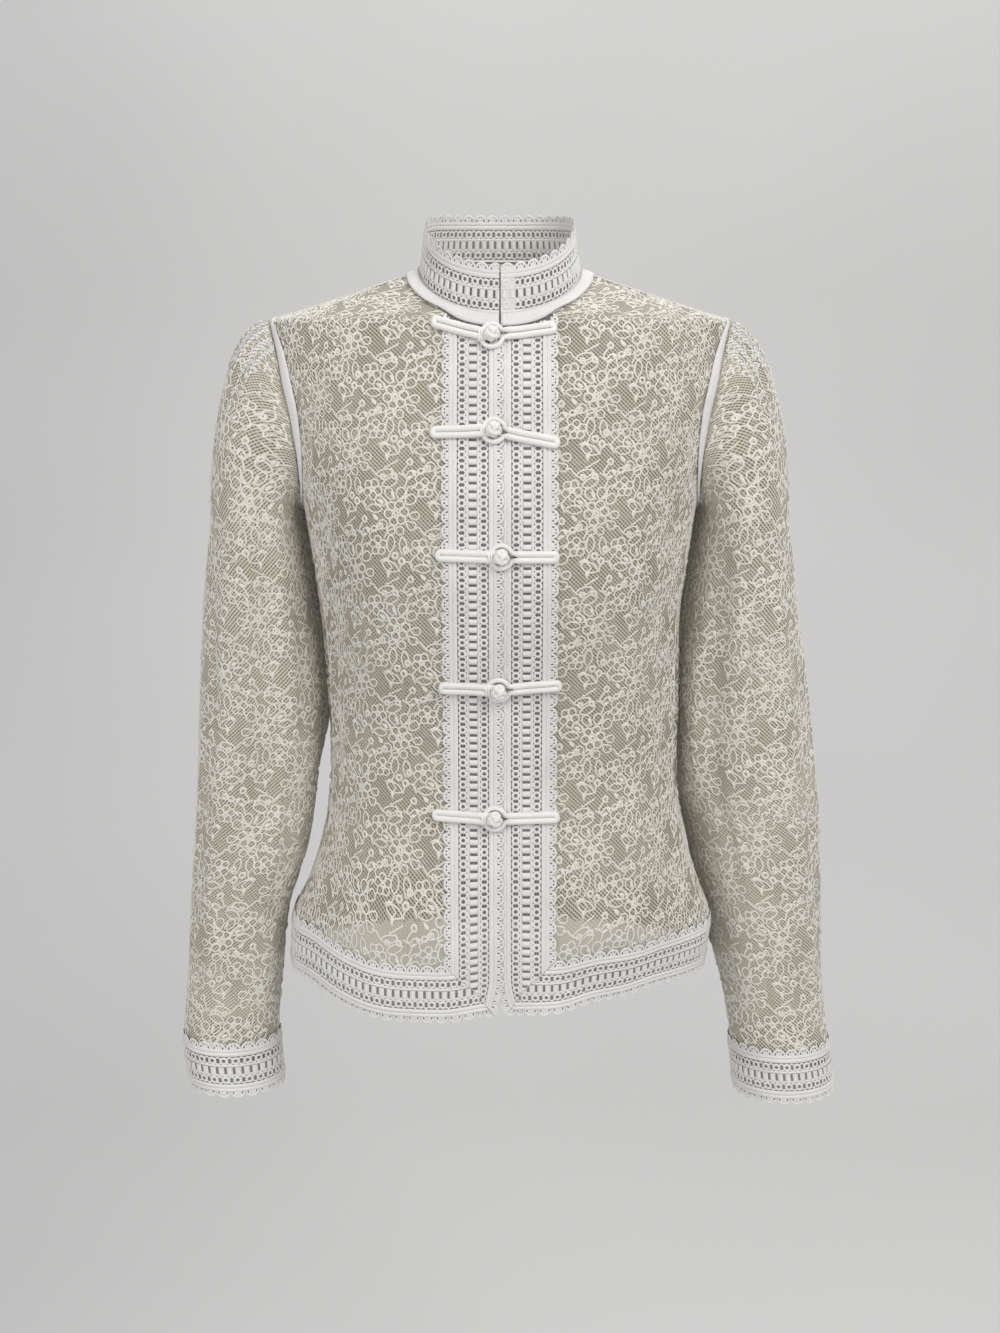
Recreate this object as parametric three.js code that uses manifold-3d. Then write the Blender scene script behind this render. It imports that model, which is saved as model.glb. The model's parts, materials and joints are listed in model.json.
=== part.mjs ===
// Lace shirt with a stand collar, long gathered sleeves and five frog fastenings.
// Millimetres, +Z up. The front faces -Y, and the wearer's left is at +X.
// The origin is the middle of the neck base, level with the neck end of the shoulder seams.
import * as THREE from 'three';
import { mergeVertices } from 'three/addons/utils/BufferGeometryUtils.js';
import Module from 'manifold-3d';

const wasm = await Module();
wasm.setup();

// Cloth and seams
const WALL = 1.1;
const SEAM_GAP = 0.3;
const LAYER_GAP = 0.5;
const BINDING_GAP = 1.5;

// Openwork galloon: its width, and how far it lies over the edge of the lace
const GALLOON = 46.5;
const LAP = 9.5;
const SCALLOP = 5.5;

// Body
const ROUNDING = 0.85;
const HEM_Z = -561;
const UNDERARM_Z = -176;
const SHOULDER_TIP_Z = -35;
const ARMHOLE_FRONT_DEG = 24;
const ARMHOLE_BACK_DEG = 26;
const SIDE_DEG = 90;

// Neckline: a round of this radius that drops to the front and is nearly level behind
const NECK_RADIUS = 62;
const NECK_SIDE_Z = 3.5;
const NECK_TILT = 32.5;
const NECK_BACK_RISE = 8;
const BINDING_WIDTH = 11.5;
const BINDING_INSET = 1;
const COLLAR_HEIGHT = 36.5;
const COLLAR_TOP_RADIUS = 57;
const COLLAR_OPENING_DEG = 0.6;

// Centre front: the wearer's right placket laps over the left one by one scallop
const FRONT_LAP = 3.2;
const SLIT_TOP_Z = -530;
const SLIT_SPREAD = 5.5;
const MITRE_GAP = 0.35;
const SLIT_FADE = 20;

// Armhole tapes
const TAPE_INSET = 2;
const TAPE_WIDTH_TOP = 5;
const TAPE_WIDTH_LOW = 3.6;
const TAPE_WIDE_FROM = 8;
const TAPE_DEG_PER_MM = 0.55;

// Sleeves
const SLEEVE_TOP_Z = -190;
const HEAD_GAP = 0.75;
const TAPE_ROOM = 2.4;
const CAP_RISE = 0.45;
const CAP_PUFF = 0.2;
const CAP_UNDER_SLOPE = -0.2;
const CAP_FORWARD = -0.25;
const PLEAT_DEPTH = 2.6;
const PLEAT_STEP_DEG = 7;
const PLEAT_STEPS = 5;

// Frogs
const CORD_RADIUS = 1.9;
const KNOT_RADIUS = 6.1;
const KNOT_FLATTENING = 0.85;
const LOOP_CORD_RADIUS = 1.6;
const LOOP_CLEARANCE = 0.5;
const LOOP_OPENING_DEG = 70;

// Height of each section, half width at the side, depth to the front and to the back
const BODY = [
  { z: 12, side: 47, front: 0.5, back: 61.8 },
  { z: 11.2, side: 52.1, front: 0.5, back: 62.3 },
  { z: 9.9, side: 58.5, front: 0.5, back: 63.5 },
  { z: 8.2, side: 60.9, front: 0.5, back: 65 },
  { z: 6.4, side: 61.8, front: 0.5, back: 66.2 },
  { z: 3.5, side: 62, front: 0.5, back: 68 },
  { z: 0, side: 70.5, front: 11.6, back: 71 },
  { z: -10, side: 100.5, front: 29, back: 75 },
  { z: -20, side: 131, front: 46, back: 78 },
  { z: -29, side: 158.5, front: 61, back: 81 },
  { z: -35, side: 177, front: 65, back: 83 },
  { z: -75, side: 177, front: 83, back: 91 },
  { z: -104, side: 172, front: 93, back: 94 },
  { z: -150, side: 160, front: 107, back: 96 },
  { z: -176, side: 154.5, front: 112, back: 94 },
  { z: -220, side: 148, front: 115, back: 88 },
  { z: -270, side: 141, front: 108, back: 79 },
  { z: -333, side: 136, front: 97, back: 71 },
  { z: -380, side: 135, front: 95, back: 72 },
  { z: -420, side: 138, front: 99, back: 78 },
  { z: -454, side: 145, front: 103, back: 86 },
  { z: -484, side: 155.5, front: 106, back: 93 },
  { z: -511, side: 167, front: 109, back: 99 },
  { z: -561, side: 170, front: 113, back: 105 },
  { z: -590, side: 171, front: 113.5, back: 106 },
];

// Soft drapes of the body: where round it, how wide, from which height to which, how deep.
// The angle is from centre front, positive towards the wearer's left.
const DRAPES = [
  { at: -62, width: 13, top: -150, bottom: -330, depth: -3 },
  { at: 60, width: 12, top: -140, bottom: -300, depth: -2.6 },
  { at: -70, width: 12, top: -420, bottom: -575, depth: 3 },
  { at: 72, width: 12, top: -400, bottom: -575, depth: 2.6 },
  { at: -34, width: 10, top: -470, bottom: -590, depth: 2.4 },
  { at: 128, width: 14, top: -260, bottom: -480, depth: -3 },
  { at: -124, width: 14, top: -230, bottom: -450, depth: -3 },
  { at: 160, width: 12, top: -440, bottom: -590, depth: 2.6 },
  { at: -150, width: 12, top: -450, bottom: -590, depth: 3 },
  { at: 88, width: 26, top: -250, bottom: -560, depth: 6 },
  { at: 42, width: 34, top: -503, bottom: -700, depth: -15 },
];

// The hem isn't level: how much higher its band lies, by the angle from centre front
const HEM_LINE = [
  { at: 180, rise: 0 },
  { at: 120, rise: 5 },
  { at: 90, rise: 6 },
  { at: 64, rise: 6 },
  { at: 48, rise: 5 },
  { at: 35, rise: 1 },
  { at: 24, rise: 0 },
  { at: 12, rise: -5.5 },
  { at: 0, rise: -4 },
  { at: -12, rise: -9.5 },
  { at: -24, rise: -10 },
  { at: -43, rise: -2.3 },
  { at: -63, rise: 8.5 },
  { at: -90, rise: 9 },
  { at: -120, rise: 6 },
  { at: -180, rise: 0 },
];
const HEM_LINE_FROM = -430;
const HEM_LINE_TO = -512;

// Where the hem curls in on the wearer's left, its lower edge comes up by this much
const HEM_CURL = { at: 42, width: 34, rise: 2.7 };

// Sections of each sleeve: inner and outer edge from the middle of the body, front and back edge
const SLEEVES = {
  right: {
    sign: -1,
    cuffTop: -611,
    capSlope: 0.05,
    sections: [
      { z: -190, inner: 160, outer: 229, front: -56, back: 60 },
      { z: -255, inner: 151.5, outer: 237, front: -55, back: 59 },
      { z: -333, inner: 143.5, outer: 243, front: -52, back: 56 },
      { z: -404, inner: 150.5, outer: 246.5, front: -50, back: 50 },
      { z: -454, inner: 158, outer: 250, front: -48, back: 46 },
      { z: -484, inner: 167, outer: 252.5, front: -47, back: 43 },
      { z: -511, inner: 175.5, outer: 254.5, front: -46, back: 40 },
      { z: -562, inner: 181, outer: 257.5, front: -46, back: 34 },
      { z: -611, inner: 185, outer: 261, front: -49, back: 23 },
      { z: -660, inner: 182, outer: 256.5, front: -51, back: 21 },
    ],
    drapes: [
      { at: 74, width: 15, top: -150, bottom: -470, depth: -4.5 },
      { at: 118, width: 16, top: -330, bottom: -600, depth: 2.6 },
      { at: 20, width: 16, top: -420, bottom: -600, depth: -2.4 },
      { at: 230, width: 18, top: -200, bottom: -480, depth: -4 },
      { at: 290, width: 16, top: -340, bottom: -590, depth: -3 },
    ],
  },
  left: {
    sign: 1,
    cuffTop: -616,
    capSlope: -0.32,
    sections: [
      { z: -190, inner: 160, outer: 229, front: -56, back: 60 },
      { z: -255, inner: 152, outer: 238, front: -55, back: 59 },
      { z: -333, inner: 145.5, outer: 247, front: -52, back: 56 },
      { z: -404, inner: 149.5, outer: 255, front: -50, back: 50 },
      { z: -430, inner: 158, outer: 258, front: -49, back: 48 },
      { z: -454, inner: 164, outer: 260, front: -48, back: 46 },
      { z: -484, inner: 170, outer: 262.5, front: -47, back: 43 },
      { z: -511, inner: 176.5, outer: 264, front: -46, back: 40 },
      { z: -562, inner: 184, outer: 266, front: -46, back: 34 },
      { z: -616, inner: 192, outer: 271, front: -50, back: 24 },
      { z: -665, inner: 197.5, outer: 277.5, front: -54, back: 26 },
    ],
    drapes: [
      { at: 58, width: 15, top: -170, bottom: -520, depth: -5 },
      { at: 122, width: 18, top: -260, bottom: -560, depth: 2.4 },
      { at: 28, width: 14, top: -380, bottom: -610, depth: -3 },
      { at: 236, width: 18, top: -220, bottom: -500, depth: -4 },
      { at: 300, width: 16, top: -320, bottom: -600, depth: -3 },
    ],
  },
};

// Frogs: height of the knot, its place across, the ends of the bars and how much higher they lie
const FROGS = [
  { z: -47, knot: -6, rightEnd: -50, rightRise: 11, leftEnd: 41.5, leftRise: 6.5 },
  { z: -115, knot: -4.5, rightEnd: -50, rightRise: -1, leftEnd: 43.5, leftRise: -9 },
  { z: -205, knot: 1, rightEnd: -46, rightRise: 1, leftEnd: 42, leftRise: -0.5 },
  { z: -306, knot: -1, rightEnd: -44.5, rightRise: 0.5, leftEnd: 45, leftRise: 2.5 },
  { z: -409, knot: -4, rightEnd: -50, rightRise: 2, leftEnd: 44, leftRise: 0.5 },
];

// Heights of the facets' rows below the underarm
const LOWER_ROWS = [-492, -462, -430, -395, -358, -320, -284, -246, -210];
const UPPER_ROWS = 12;
const NECK_ROWS = 5;
const PANEL_COLUMNS = 8;

const COLOURS = { lace: '#d9d5c6', galloon: '#e9e9ea', tape: '#ebebeb', satin: '#efeee8' };
const FINISHES = {
  lace: { color: COLOURS.lace, roughness: 0.85, metalness: 0 },
  galloon: { color: COLOURS.galloon, roughness: 0.8, metalness: 0 },
  tape: { color: COLOURS.tape, roughness: 0.75, metalness: 0 },
  satin: { color: COLOURS.satin, roughness: 0.35, metalness: 0 },
};

const radians = THREE.MathUtils.degToRad;
const { lerp, clamp, smoothstep } = THREE.MathUtils;

// A smooth curve through one column of a table whose heights, or other key, fall from row to row
function read(table, column, place, key = 'z') {
  const last = table.length - 1;
  if (place >= table[0][key]) return table[0][column];
  if (place <= table[last][key]) return table[last][column];
  const gap = (i) => table[i + 1][key] - table[i][key];
  const slope = (i) => (table[i + 1][column] - table[i][column]) / gap(i);
  const tangent = (i) => {
    if (i === 0) return slope(0);
    if (i === last) return slope(last - 1);
    const before = slope(i - 1);
    const after = slope(i);
    return before * after <= 0 ? 0 : (2 * before * after) / (before + after);
  };
  let i = 0;
  while (table[i + 1][key] > place) i += 1;
  const t = (place - table[i][key]) / gap(i);
  const rise = t * t * (3 - 2 * t);
  const bendStart = t * (1 - t) * (1 - t) * gap(i) * tangent(i);
  const bendEnd = t * t * (t - 1) * gap(i) * tangent(i + 1);
  return lerp(table[i][column], table[i + 1][column], rise) + bendStart + bendEnd;
}

// How far the drapes push the cloth out at an angle and a height
function drape(table, degrees, z) {
  let push = 0;
  for (const fold of table) {
    const turn = ((degrees - fold.at + 540) % 360) - 180;
    const across = Math.exp(-((turn / fold.width) ** 2));
    const ease = 0.3 * (fold.top - fold.bottom);
    const along = smoothstep(z, fold.bottom, fold.bottom + ease)
      * (1 - smoothstep(z, fold.top - ease, fold.top));
    push += fold.depth * across * along;
  }
  return push;
}

const power = (value) => Math.sign(value) * Math.abs(value) ** ROUNDING;

// The true height of a place on the body, where the hem isn't level
function trueHeight(degrees, z) {
  const round = ((degrees + 540) % 360) - 180;
  const level = smoothstep(z, HEM_LINE_TO, HEM_LINE_FROM);
  const curl = 1 - smoothstep(z, HEM_Z, HEM_Z + GALLOON);
  const near = Math.exp(-(((round - HEM_CURL.at) / HEM_CURL.width) ** 2));
  return z + (1 - level) * read(HEM_LINE, 'rise', round, 'at') + curl * near * HEM_CURL.rise;
}

// The body's surface: the angle is 0 at centre front, 90 at the wearer's left side, 180 at the back
function bodyAt(degrees, z) {
  const angle = radians(degrees);
  const height = trueHeight(degrees, z);
  const side = read(BODY, 'side', height);
  const forward = Math.cos(angle) > 0;
  const depth = read(BODY, forward ? 'front' : 'back', height);
  const x = side * power(Math.sin(angle));
  const y = -depth * power(Math.cos(angle));
  const out = Math.hypot(x, y) || 1;
  const grow = 1 + drape(DRAPES, degrees, height) / out;
  return new THREE.Vector3(x * grow, y * grow, height);
}

// The outward normal from two short steps along a surface
function normalOf(surface, a, b, stepA, stepB) {
  const alongA = surface(a + stepA, b).sub(surface(a - stepA, b));
  const alongB = surface(a, b + stepB).sub(surface(a, b - stepB));
  return alongA.cross(alongB).normalize();
}

const bodyNode = (degrees, z) => ({
  at: bodyAt(degrees, z),
  out: normalOf(bodyAt, degrees, z, 0.5, 0.5),
});

const bodyRadius = (degrees, z) => {
  const { x, y } = bodyAt(degrees, z);
  return Math.hypot(x, y) || 1;
};

// The angle at which the body's surface lies x from the middle
function angleAt(x, z, behind = false) {
  let degrees = 0;
  for (let pass = 0; pass < 4; pass += 1) {
    const height = trueHeight(degrees, z);
    const grow = pass ? 1 + drape(DRAPES, degrees, height) / bodyRadius(degrees, z) : 1;
    const share = clamp(Math.abs(x) / (read(BODY, 'side', height) * grow), 0, 1);
    const turn = THREE.MathUtils.radToDeg(Math.asin(share ** (1 / ROUNDING)));
    degrees = Math.sign(x || 1) * (behind ? 180 - turn : turn);
  }
  return degrees;
}

function neckHeight(turn) {
  const behind = -Math.cos(radians(turn));
  const level = behind > 0 ? 1 + (NECK_TILT / NECK_BACK_RISE - 1) * behind : 1;
  return NECK_SIDE_Z + (NECK_TILT * behind) / level;
}

// Points of the seams as an angle and a height. Round the neck, 0 is centre front and 180 the back
function neckline(turn) {
  const x = NECK_RADIUS * Math.sin(radians(turn));
  const z = neckHeight(turn);
  return { degrees: angleAt(x, z, Math.abs(turn) > SIDE_DEG), z };
}

// Round the armhole, 0 is the underarm, 90 the front and 180 the shoulder tip
function armhole(turn) {
  const middle = (UNDERARM_Z + SHOULDER_TIP_Z) / 2;
  const half = (SHOULDER_TIP_Z - UNDERARM_Z) / 2;
  const forward = Math.sin(radians(turn));
  const width = forward > 0 ? ARMHOLE_FRONT_DEG : ARMHOLE_BACK_DEG;
  return { degrees: SIDE_DEG - width * forward, z: middle - half * Math.cos(radians(turn)) };
}

// Turns a row of quads into one closed wall. Each corner is { at, out }, anticlockwise from outside
function wall(quads, lift = 0, thickness = WALL) {
  const corners = [];
  const found = new Map();
  const index = (corner) => {
    const key = corner.at.toArray().map((value) => value.toFixed(3)).join();
    if (!found.has(key)) {
      found.set(key, corners.length);
      corners.push(corner);
    }
    return found.get(key);
  };
  const faces = quads.map((quad) => quad.map(index));
  const positions = [];
  for (const height of [lift + thickness, lift]) {
    for (const { at, out } of corners) {
      positions.push(...at.clone().addScaledVector(out, height).toArray());
    }
  }
  const inside = corners.length;
  const triangles = [];
  const edges = new Map();
  for (const [a, b, c, d] of faces) {
    triangles.push(a, b, c, a, c, d);
    triangles.push(inside + a, inside + c, inside + b, inside + a, inside + d, inside + c);
    for (const [from, to] of [[a, b], [b, c], [c, d], [d, a]]) {
      if (edges.has(`${to},${from}`)) edges.delete(`${to},${from}`);
      else edges.set(`${from},${to}`, [from, to]);
    }
  }
  for (const [from, to] of edges.values()) {
    triangles.push(from, inside + from, to, to, inside + from, inside + to);
  }
  return meshGeometry(positions, triangles);
}

function meshGeometry(positions, triangles) {
  const geometry = new THREE.BufferGeometry();
  geometry.setAttribute('position', new THREE.Float32BufferAttribute(positions, 3));
  geometry.setIndex(triangles);
  return geometry;
}

// Quads between rows of corners. Rows go up, and corners go to the wearer's left seen from the front
function between(rows, turned = false) {
  const quads = [];
  for (let r = 0; r + 1 < rows.length; r += 1) {
    for (let c = 0; c + 1 < rows[r].length; c += 1) {
      const quad = [rows[r][c], rows[r][c + 1], rows[r + 1][c + 1], rows[r + 1][c]];
      quads.push(turned ? quad.reverse() : quad);
    }
  }
  return quads;
}

const shirt = new THREE.Group();

function add(name, geometry, finish) {
  const mesh = new THREE.Mesh(geometry, new THREE.MeshStandardMaterial(FINISHES[finish]));
  mesh.name = name;
  shirt.add(mesh);
}

const steps = (from, to, count) => Array.from({ length: count + 1 }, (_, i) => lerp(from, to, i / count));

// The two front edges part below the last frog: where a place across lies at a height
function parted(x, z) {
  const spread = SLIT_SPREAD * smoothstep(SLIT_TOP_Z - z, 0, SLIT_TOP_Z - HEM_Z);
  return x + spread * (1 - smoothstep(x, SCALLOP, SLIT_FADE));
}
const STRIP_EDGE = GALLOON - FRONT_LAP;
const LACE_EDGE = STRIP_EDGE - LAP;

const SIDE_SEAM_DEG = 0.12;
const BACK_FIRST_COLUMN_DEG = 171;

// Down the body from the neckline, as far as the width given
function belowNeck(turn, width) {
  const start = neckline(turn);
  const from = bodyAt(start.degrees, start.z);
  let low = start.z - width;
  let high = start.z;
  for (let i = 0; i < 30; i += 1) {
    const middle = (low + high) / 2;
    if (bodyAt(start.degrees, middle).distanceTo(from) > width) low = middle;
    else high = middle;
  }
  return { degrees: start.degrees, z: (low + high) / 2 };
}

// Rows of a panel, each of three points: its inner edge, a first fold line, and its outer edge.
// The inner edge goes up the centre and then along the neckline; the outer edge goes up the side
// seam and then round the armhole. The fold line is where galloon or binding ends on the panel.
function panelRows(inner, foldLine, cornerTurn, side) {
  const edge = SIDE_DEG - side * SIDE_SEAM_DEG;
  const rows = [HEM_Z + GALLOON - LAP, HEM_Z + GALLOON, ...LOWER_ROWS, UNDERARM_Z]
    .map((z) => [inner(z), foldLine(z), { degrees: edge, z }]);
  const corner = neckline(cornerTurn);
  const straight = UPPER_ROWS - NECK_ROWS;
  for (let k = 1; k <= UPPER_ROWS; k += 1) {
    const end = armhole((side * 180 * k) / UPPER_ROWS);
    if (k <= straight) {
      const z = lerp(UNDERARM_Z, corner.z, k / straight);
      const drop = side < 0 && k === straight ? BINDING_WIDTH : 0;
      rows.push([inner(z), foldLine(z - drop), end]);
    } else {
      const turn = lerp(cornerTurn, edge, (k - straight) / NECK_ROWS);
      rows.push([neckline(turn), belowNeck(turn, BINDING_WIDTH), end]);
    }
  }
  return rows.map(([from, fold, to]) => [from, fold, { degrees: seamSide(to.degrees, side), z: to.z }]);
}

// Keeps a panel its seam gap clear of the side seam and the shoulder seam
function seamSide(degrees, side) {
  const edge = SIDE_DEG - side * SIDE_SEAM_DEG;
  return side > 0 ? Math.min(degrees, edge) : Math.max(degrees, edge);
}

// One half panel, mirrored for the wearer's right side
function halfPanel(rows, sign) {
  return rows.map(([from, fold, to]) => [
    bodyNode(sign * from.degrees, from.z),
    ...steps(0, 1, PANEL_COLUMNS - 1).map((share) => {
      const degrees = lerp(fold.degrees, to.degrees, share);
      return bodyNode(sign * degrees, lerp(fold.z, to.z, share));
    }),
  ]);
}

const CORNER_TURN = THREE.MathUtils.radToDeg(Math.asin(LACE_EDGE / NECK_RADIUS));

// Corners of the half panels, by row and column, for the wearer's left and right
const frontRows = panelRows(
  (z) => ({ degrees: angleAt(LACE_EDGE, z), z }),
  (z) => ({ degrees: angleAt(STRIP_EDGE, z), z }),
  CORNER_TURN,
  1,
);
const backRows = panelRows(
  (z) => ({ degrees: 180, z }),
  (z) => ({ degrees: BACK_FIRST_COLUMN_DEG, z }),
  180,
  -1,
);
const PANELS = {
  left: { sign: 1, front: halfPanel(frontRows, 1), back: halfPanel(backRows, 1) },
  right: { sign: -1, front: halfPanel(frontRows, -1), back: halfPanel(backRows, -1) },
};

function makePanels() {
  add('front_left', wall(between(PANELS.left.front)), 'lace');
  add('front_right', wall(between(PANELS.right.front, true)), 'lace');
  const left = between(PANELS.left.back, true);
  const right = between(PANELS.right.back);
  add('back', wall([...left, ...right]), 'lace');
}

// A place between two corners
function mix(from, to, share) {
  return { at: from.at.clone().lerp(to.at, share), out: from.out.clone().lerp(to.out, share).normalize() };
}

// Front columns of the galloon from centre front, with the lapped scallop lifted over the other
function placketColumns(sign) {
  const lapLift = WALL + LAYER_GAP;
  const shared = [11, 23, LACE_EDGE, STRIP_EDGE];
  const near = sign < 0 ? [[-FRONT_LAP, lapLift], [3, lapLift], [4.6, 0]] : [[-FRONT_LAP, 0], [3, 0]];
  return [...near, ...shared.map((x) => [x, 0])];
}

const STRIP_LIFT = WALL + LAYER_GAP;

// A corner of the galloon on the front: across from centre front, and its height
function stripNode(x, z, sign, extra = 0) {
  const { at, out } = bodyNode(angleAt(x * sign, z), z);
  return { at: at.addScaledVector(out, extra), out };
}

// Turns round the neck at which the collar, the binding and the panels have their corners
const NECK_TURNS = [
  ...steps(COLLAR_OPENING_DEG, CORNER_TURN, 3).slice(0, -1),
  ...steps(CORNER_TURN, SIDE_DEG, NECK_ROWS).slice(0, -1),
  ...steps(SIDE_DEG, 180, NECK_ROWS),
];

// The height of the binding's lower edge above a place on the front
function bindingHeight(x) {
  const corners = NECK_TURNS.map((turn) => {
    const { degrees, z } = belowNeck(turn, BINDING_WIDTH);
    return bodyAt(degrees, z);
  });
  const i = Math.max(1, corners.findIndex((corner) => corner.x >= x));
  const share = clamp((x - corners[i - 1].x) / (corners[i].x - corners[i - 1].x), 0, 1);
  return lerp(corners[i - 1].z, corners[i].z, share);
}

function makePlackets() {
  const straight = UPPER_ROWS - NECK_ROWS;
  const cornerZ = neckline(CORNER_TURN).z;
  const upper = steps(UNDERARM_Z, cornerZ, straight).slice(1, -1);
  for (const [name, sign] of [['placket_left', 1], ['placket_right', -1]]) {
    const columns = placketColumns(sign);
    const corner = ([x, lift], z) => stripNode(parted(x, z), z, sign, lift);
    const mitre = ([x]) => HEM_Z + x + FRONT_LAP + MITRE_GAP;
    const rows = steps(0, 1, 3).map((share) => columns.map((column) => {
      return corner(column, lerp(mitre(column), HEM_Z + GALLOON + 2 * MITRE_GAP, share));
    }));
    for (const z of [...LOWER_ROWS, UNDERARM_Z, ...upper]) {
      rows.push(columns.map((column) => corner(column, z)));
    }
    rows.push(columns.map((column) => corner(column, bindingHeight(column[0]) - BINDING_GAP)));
    add(name, wall(between(rows, sign < 0), STRIP_LIFT), 'galloon');
  }
}

// Hem band, in the same columns as the panels, mitred into the placket at the front
function makeHems() {
  const heights = placketColumns(1).map(([x]) => x + FRONT_LAP);
  for (const [name, sign] of [['hem_front_left', 1], ['hem_front_right', -1]]) {
    const rows = heights.map((height) => {
      const z = HEM_Z + height;
      const start = parted(height - FRONT_LAP, z) + MITRE_GAP;
      const fold = angleAt(STRIP_EDGE, z);
      const panel = steps(fold, SIDE_DEG - SIDE_SEAM_DEG, PANEL_COLUMNS - 1).slice(1);
      const first = bodyAt(panel[0], z).x;
      const lead = [start, lerp(start, first, 0.5)].map((x) => angleAt(x, z));
      return [...lead, ...panel].map((degrees) => bodyNode(sign * degrees, z));
    });
    add(name, wall(between(rows, sign < 0), STRIP_LIFT), 'galloon');
  }
  const back = heights.map((height) => {
    const edge = SIDE_DEG + SIDE_SEAM_DEG;
    const half = steps(edge, BACK_FIRST_COLUMN_DEG, PANEL_COLUMNS - 1);
    const turns = [...half, 180, ...half.map((degrees) => 360 - degrees).reverse()];
    return turns.map((degrees) => bodyNode(degrees, HEM_Z + height));
  });
  add('hem_back', wall(between(back), STRIP_LIFT), 'galloon');
}

// Collar, round the neck from one front edge to the other
function makeCollar() {
  const round = [...NECK_TURNS, ...NECK_TURNS.slice(0, -1).map((turn) => -turn).reverse()];
  const rows = [0, 0.5, 1].map((share) => round.map((turn) => {
    const angle = radians(turn);
    const radius = lerp(NECK_RADIUS, COLLAR_TOP_RADIUS, share);
    const base = neckHeight(turn) + WALL + SEAM_GAP;
    const out = new THREE.Vector3(Math.sin(angle), -Math.cos(angle), 0);
    const at = out.clone().multiplyScalar(radius).setZ(base + share * COLLAR_HEIGHT);
    return { at, out };
  }));
  add('collar', wall(between(rows), -WALL / 2), 'galloon');
}

// Binding below the collar, on the panels' first columns and across the tops of the plackets
function makeBinding() {
  const trim = ([from, fold]) => [mix(from, fold, BINDING_INSET / BINDING_WIDTH), fold];
  const atTurn = (turn, sign) => {
    const from = neckline(turn);
    const fold = belowNeck(turn, BINDING_WIDTH);
    return trim([bodyNode(sign * from.degrees, from.z), bodyNode(sign * fold.degrees, fold.z)]);
  };
  const quads = [];
  for (const { sign, front, back } of Object.values(PANELS)) {
    const crossing = steps(COLLAR_OPENING_DEG, CORNER_TURN, 3).map((turn) => atTurn(turn, sign));
    const alongFront = [...crossing, ...front.slice(-NECK_ROWS).map(trim)];
    const alongBack = [atTurn(180, sign), ...back.slice(-NECK_ROWS).map(trim)];
    quads.push(...between(alongFront, sign < 0), ...between(alongBack, sign > 0));
    const shoulder = [alongFront[alongFront.length - 1], alongBack[alongBack.length - 1]];
    quads.push(...between(shoulder, sign < 0));
  }
  add('neck_binding', wall(quads, WALL + BINDING_GAP), 'tape');
}

// Columns round a sleeve: 0 at the inner side, 90 in front, 180 outside, closer at the pleats
const PLEAT_ZONE = PLEAT_STEP_DEG * PLEAT_STEPS;
const SLEEVE_TURNS = [
  ...steps(0, 180 - PLEAT_ZONE, 6).slice(0, -1),
  ...steps(180 - PLEAT_ZONE, 180 + PLEAT_ZONE, 2 * PLEAT_STEPS),
  ...steps(180 + PLEAT_ZONE, 360, 6).slice(1),
];
const SLEEVE_ROWS = [-572, -536, -500, -464, -428, -392, -356, -320, -284, -250, -218];
const CAP_ROWS = 5;

// The tube of the sleeve below the underarm
function tubeAt(sleeve, turn, z) {
  const inner = read(sleeve.sections, 'inner', z);
  const outer = read(sleeve.sections, 'outer', z);
  const front = read(sleeve.sections, 'front', z);
  const back = read(sleeve.sections, 'back', z);
  const push = drape(sleeve.drapes, turn, z);
  const angle = radians(turn);
  const x = (inner + outer) / 2 - ((outer - inner) / 2 + push) * Math.cos(angle);
  const y = (front + back) / 2 - ((back - front) / 2 + push) * Math.sin(angle);
  return new THREE.Vector3(x, y, z);
}

// The armhole seam along the straight edges of the panels' facets
function seamAt(turn) {
  const step = 180 / UPPER_ROWS;
  const low = Math.floor(turn / step) * step;
  const [from, to] = [low, low + step].map((station) => {
    const { degrees, z } = armhole(station);
    return bodyNode(degrees, z);
  });
  const share = (turn - low) / step;
  return { at: from.at.lerp(to.at, share), out: from.out.lerp(to.out, share).normalize() };
}

// The head of the sleeve, from the tube up and over to the armhole, for a share from 0 to 1
function headAt(sleeve, turn, share) {
  const start = tubeAt(sleeve, turn, SLEEVE_TOP_Z);
  const seam = seamAt(turn);
  const inward = Math.max(0, Math.cos(radians(turn)));
  const end = seam.at.clone();
  end.x += HEAD_GAP + WALL * seam.out.x + (WALL + TAPE_ROOM) * inward;
  const reach = start.distanceTo(end);
  const second = start.clone().add(new THREE.Vector3(0, 0, CAP_RISE * reach));
  const over = Math.cos(radians(turn));
  const slope = over > 0 ? CAP_UNDER_SLOPE : -sleeve.capSlope;
  const away = new THREE.Vector3(1, CAP_FORWARD * Math.sin(radians(turn)), slope * over);
  const third = end.clone().addScaledVector(away, CAP_PUFF * reach);
  const point = new THREE.CubicBezierCurve3(start, second, third, end).getPoint(share);
  const fromTip = turn - 180;
  const fade = smoothstep(share, 0.5, 0.9) * (1 - smoothstep(Math.abs(fromTip), PLEAT_ZONE - 10, PLEAT_ZONE + 5));
  const pleat = PLEAT_DEPTH * Math.cos(radians((fromTip * 180) / PLEAT_STEP_DEG)) * fade * (1 - share * 0.6);
  const lift = new THREE.Vector3(0.6, -0.3 * Math.sin(radians(turn)), 0.75);
  return point.addScaledVector(lift, pleat);
}

// One surface for the whole sleeve: heights up to the tube's top, then shares of the head
function sleeveAt(sleeve, turn, level) {
  const round = (turn + 360) % 360;
  if (level <= SLEEVE_TOP_Z) return tubeAt(sleeve, round, level);
  return headAt(sleeve, round, Math.min(level - SLEEVE_TOP_Z, 1));
}

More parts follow.
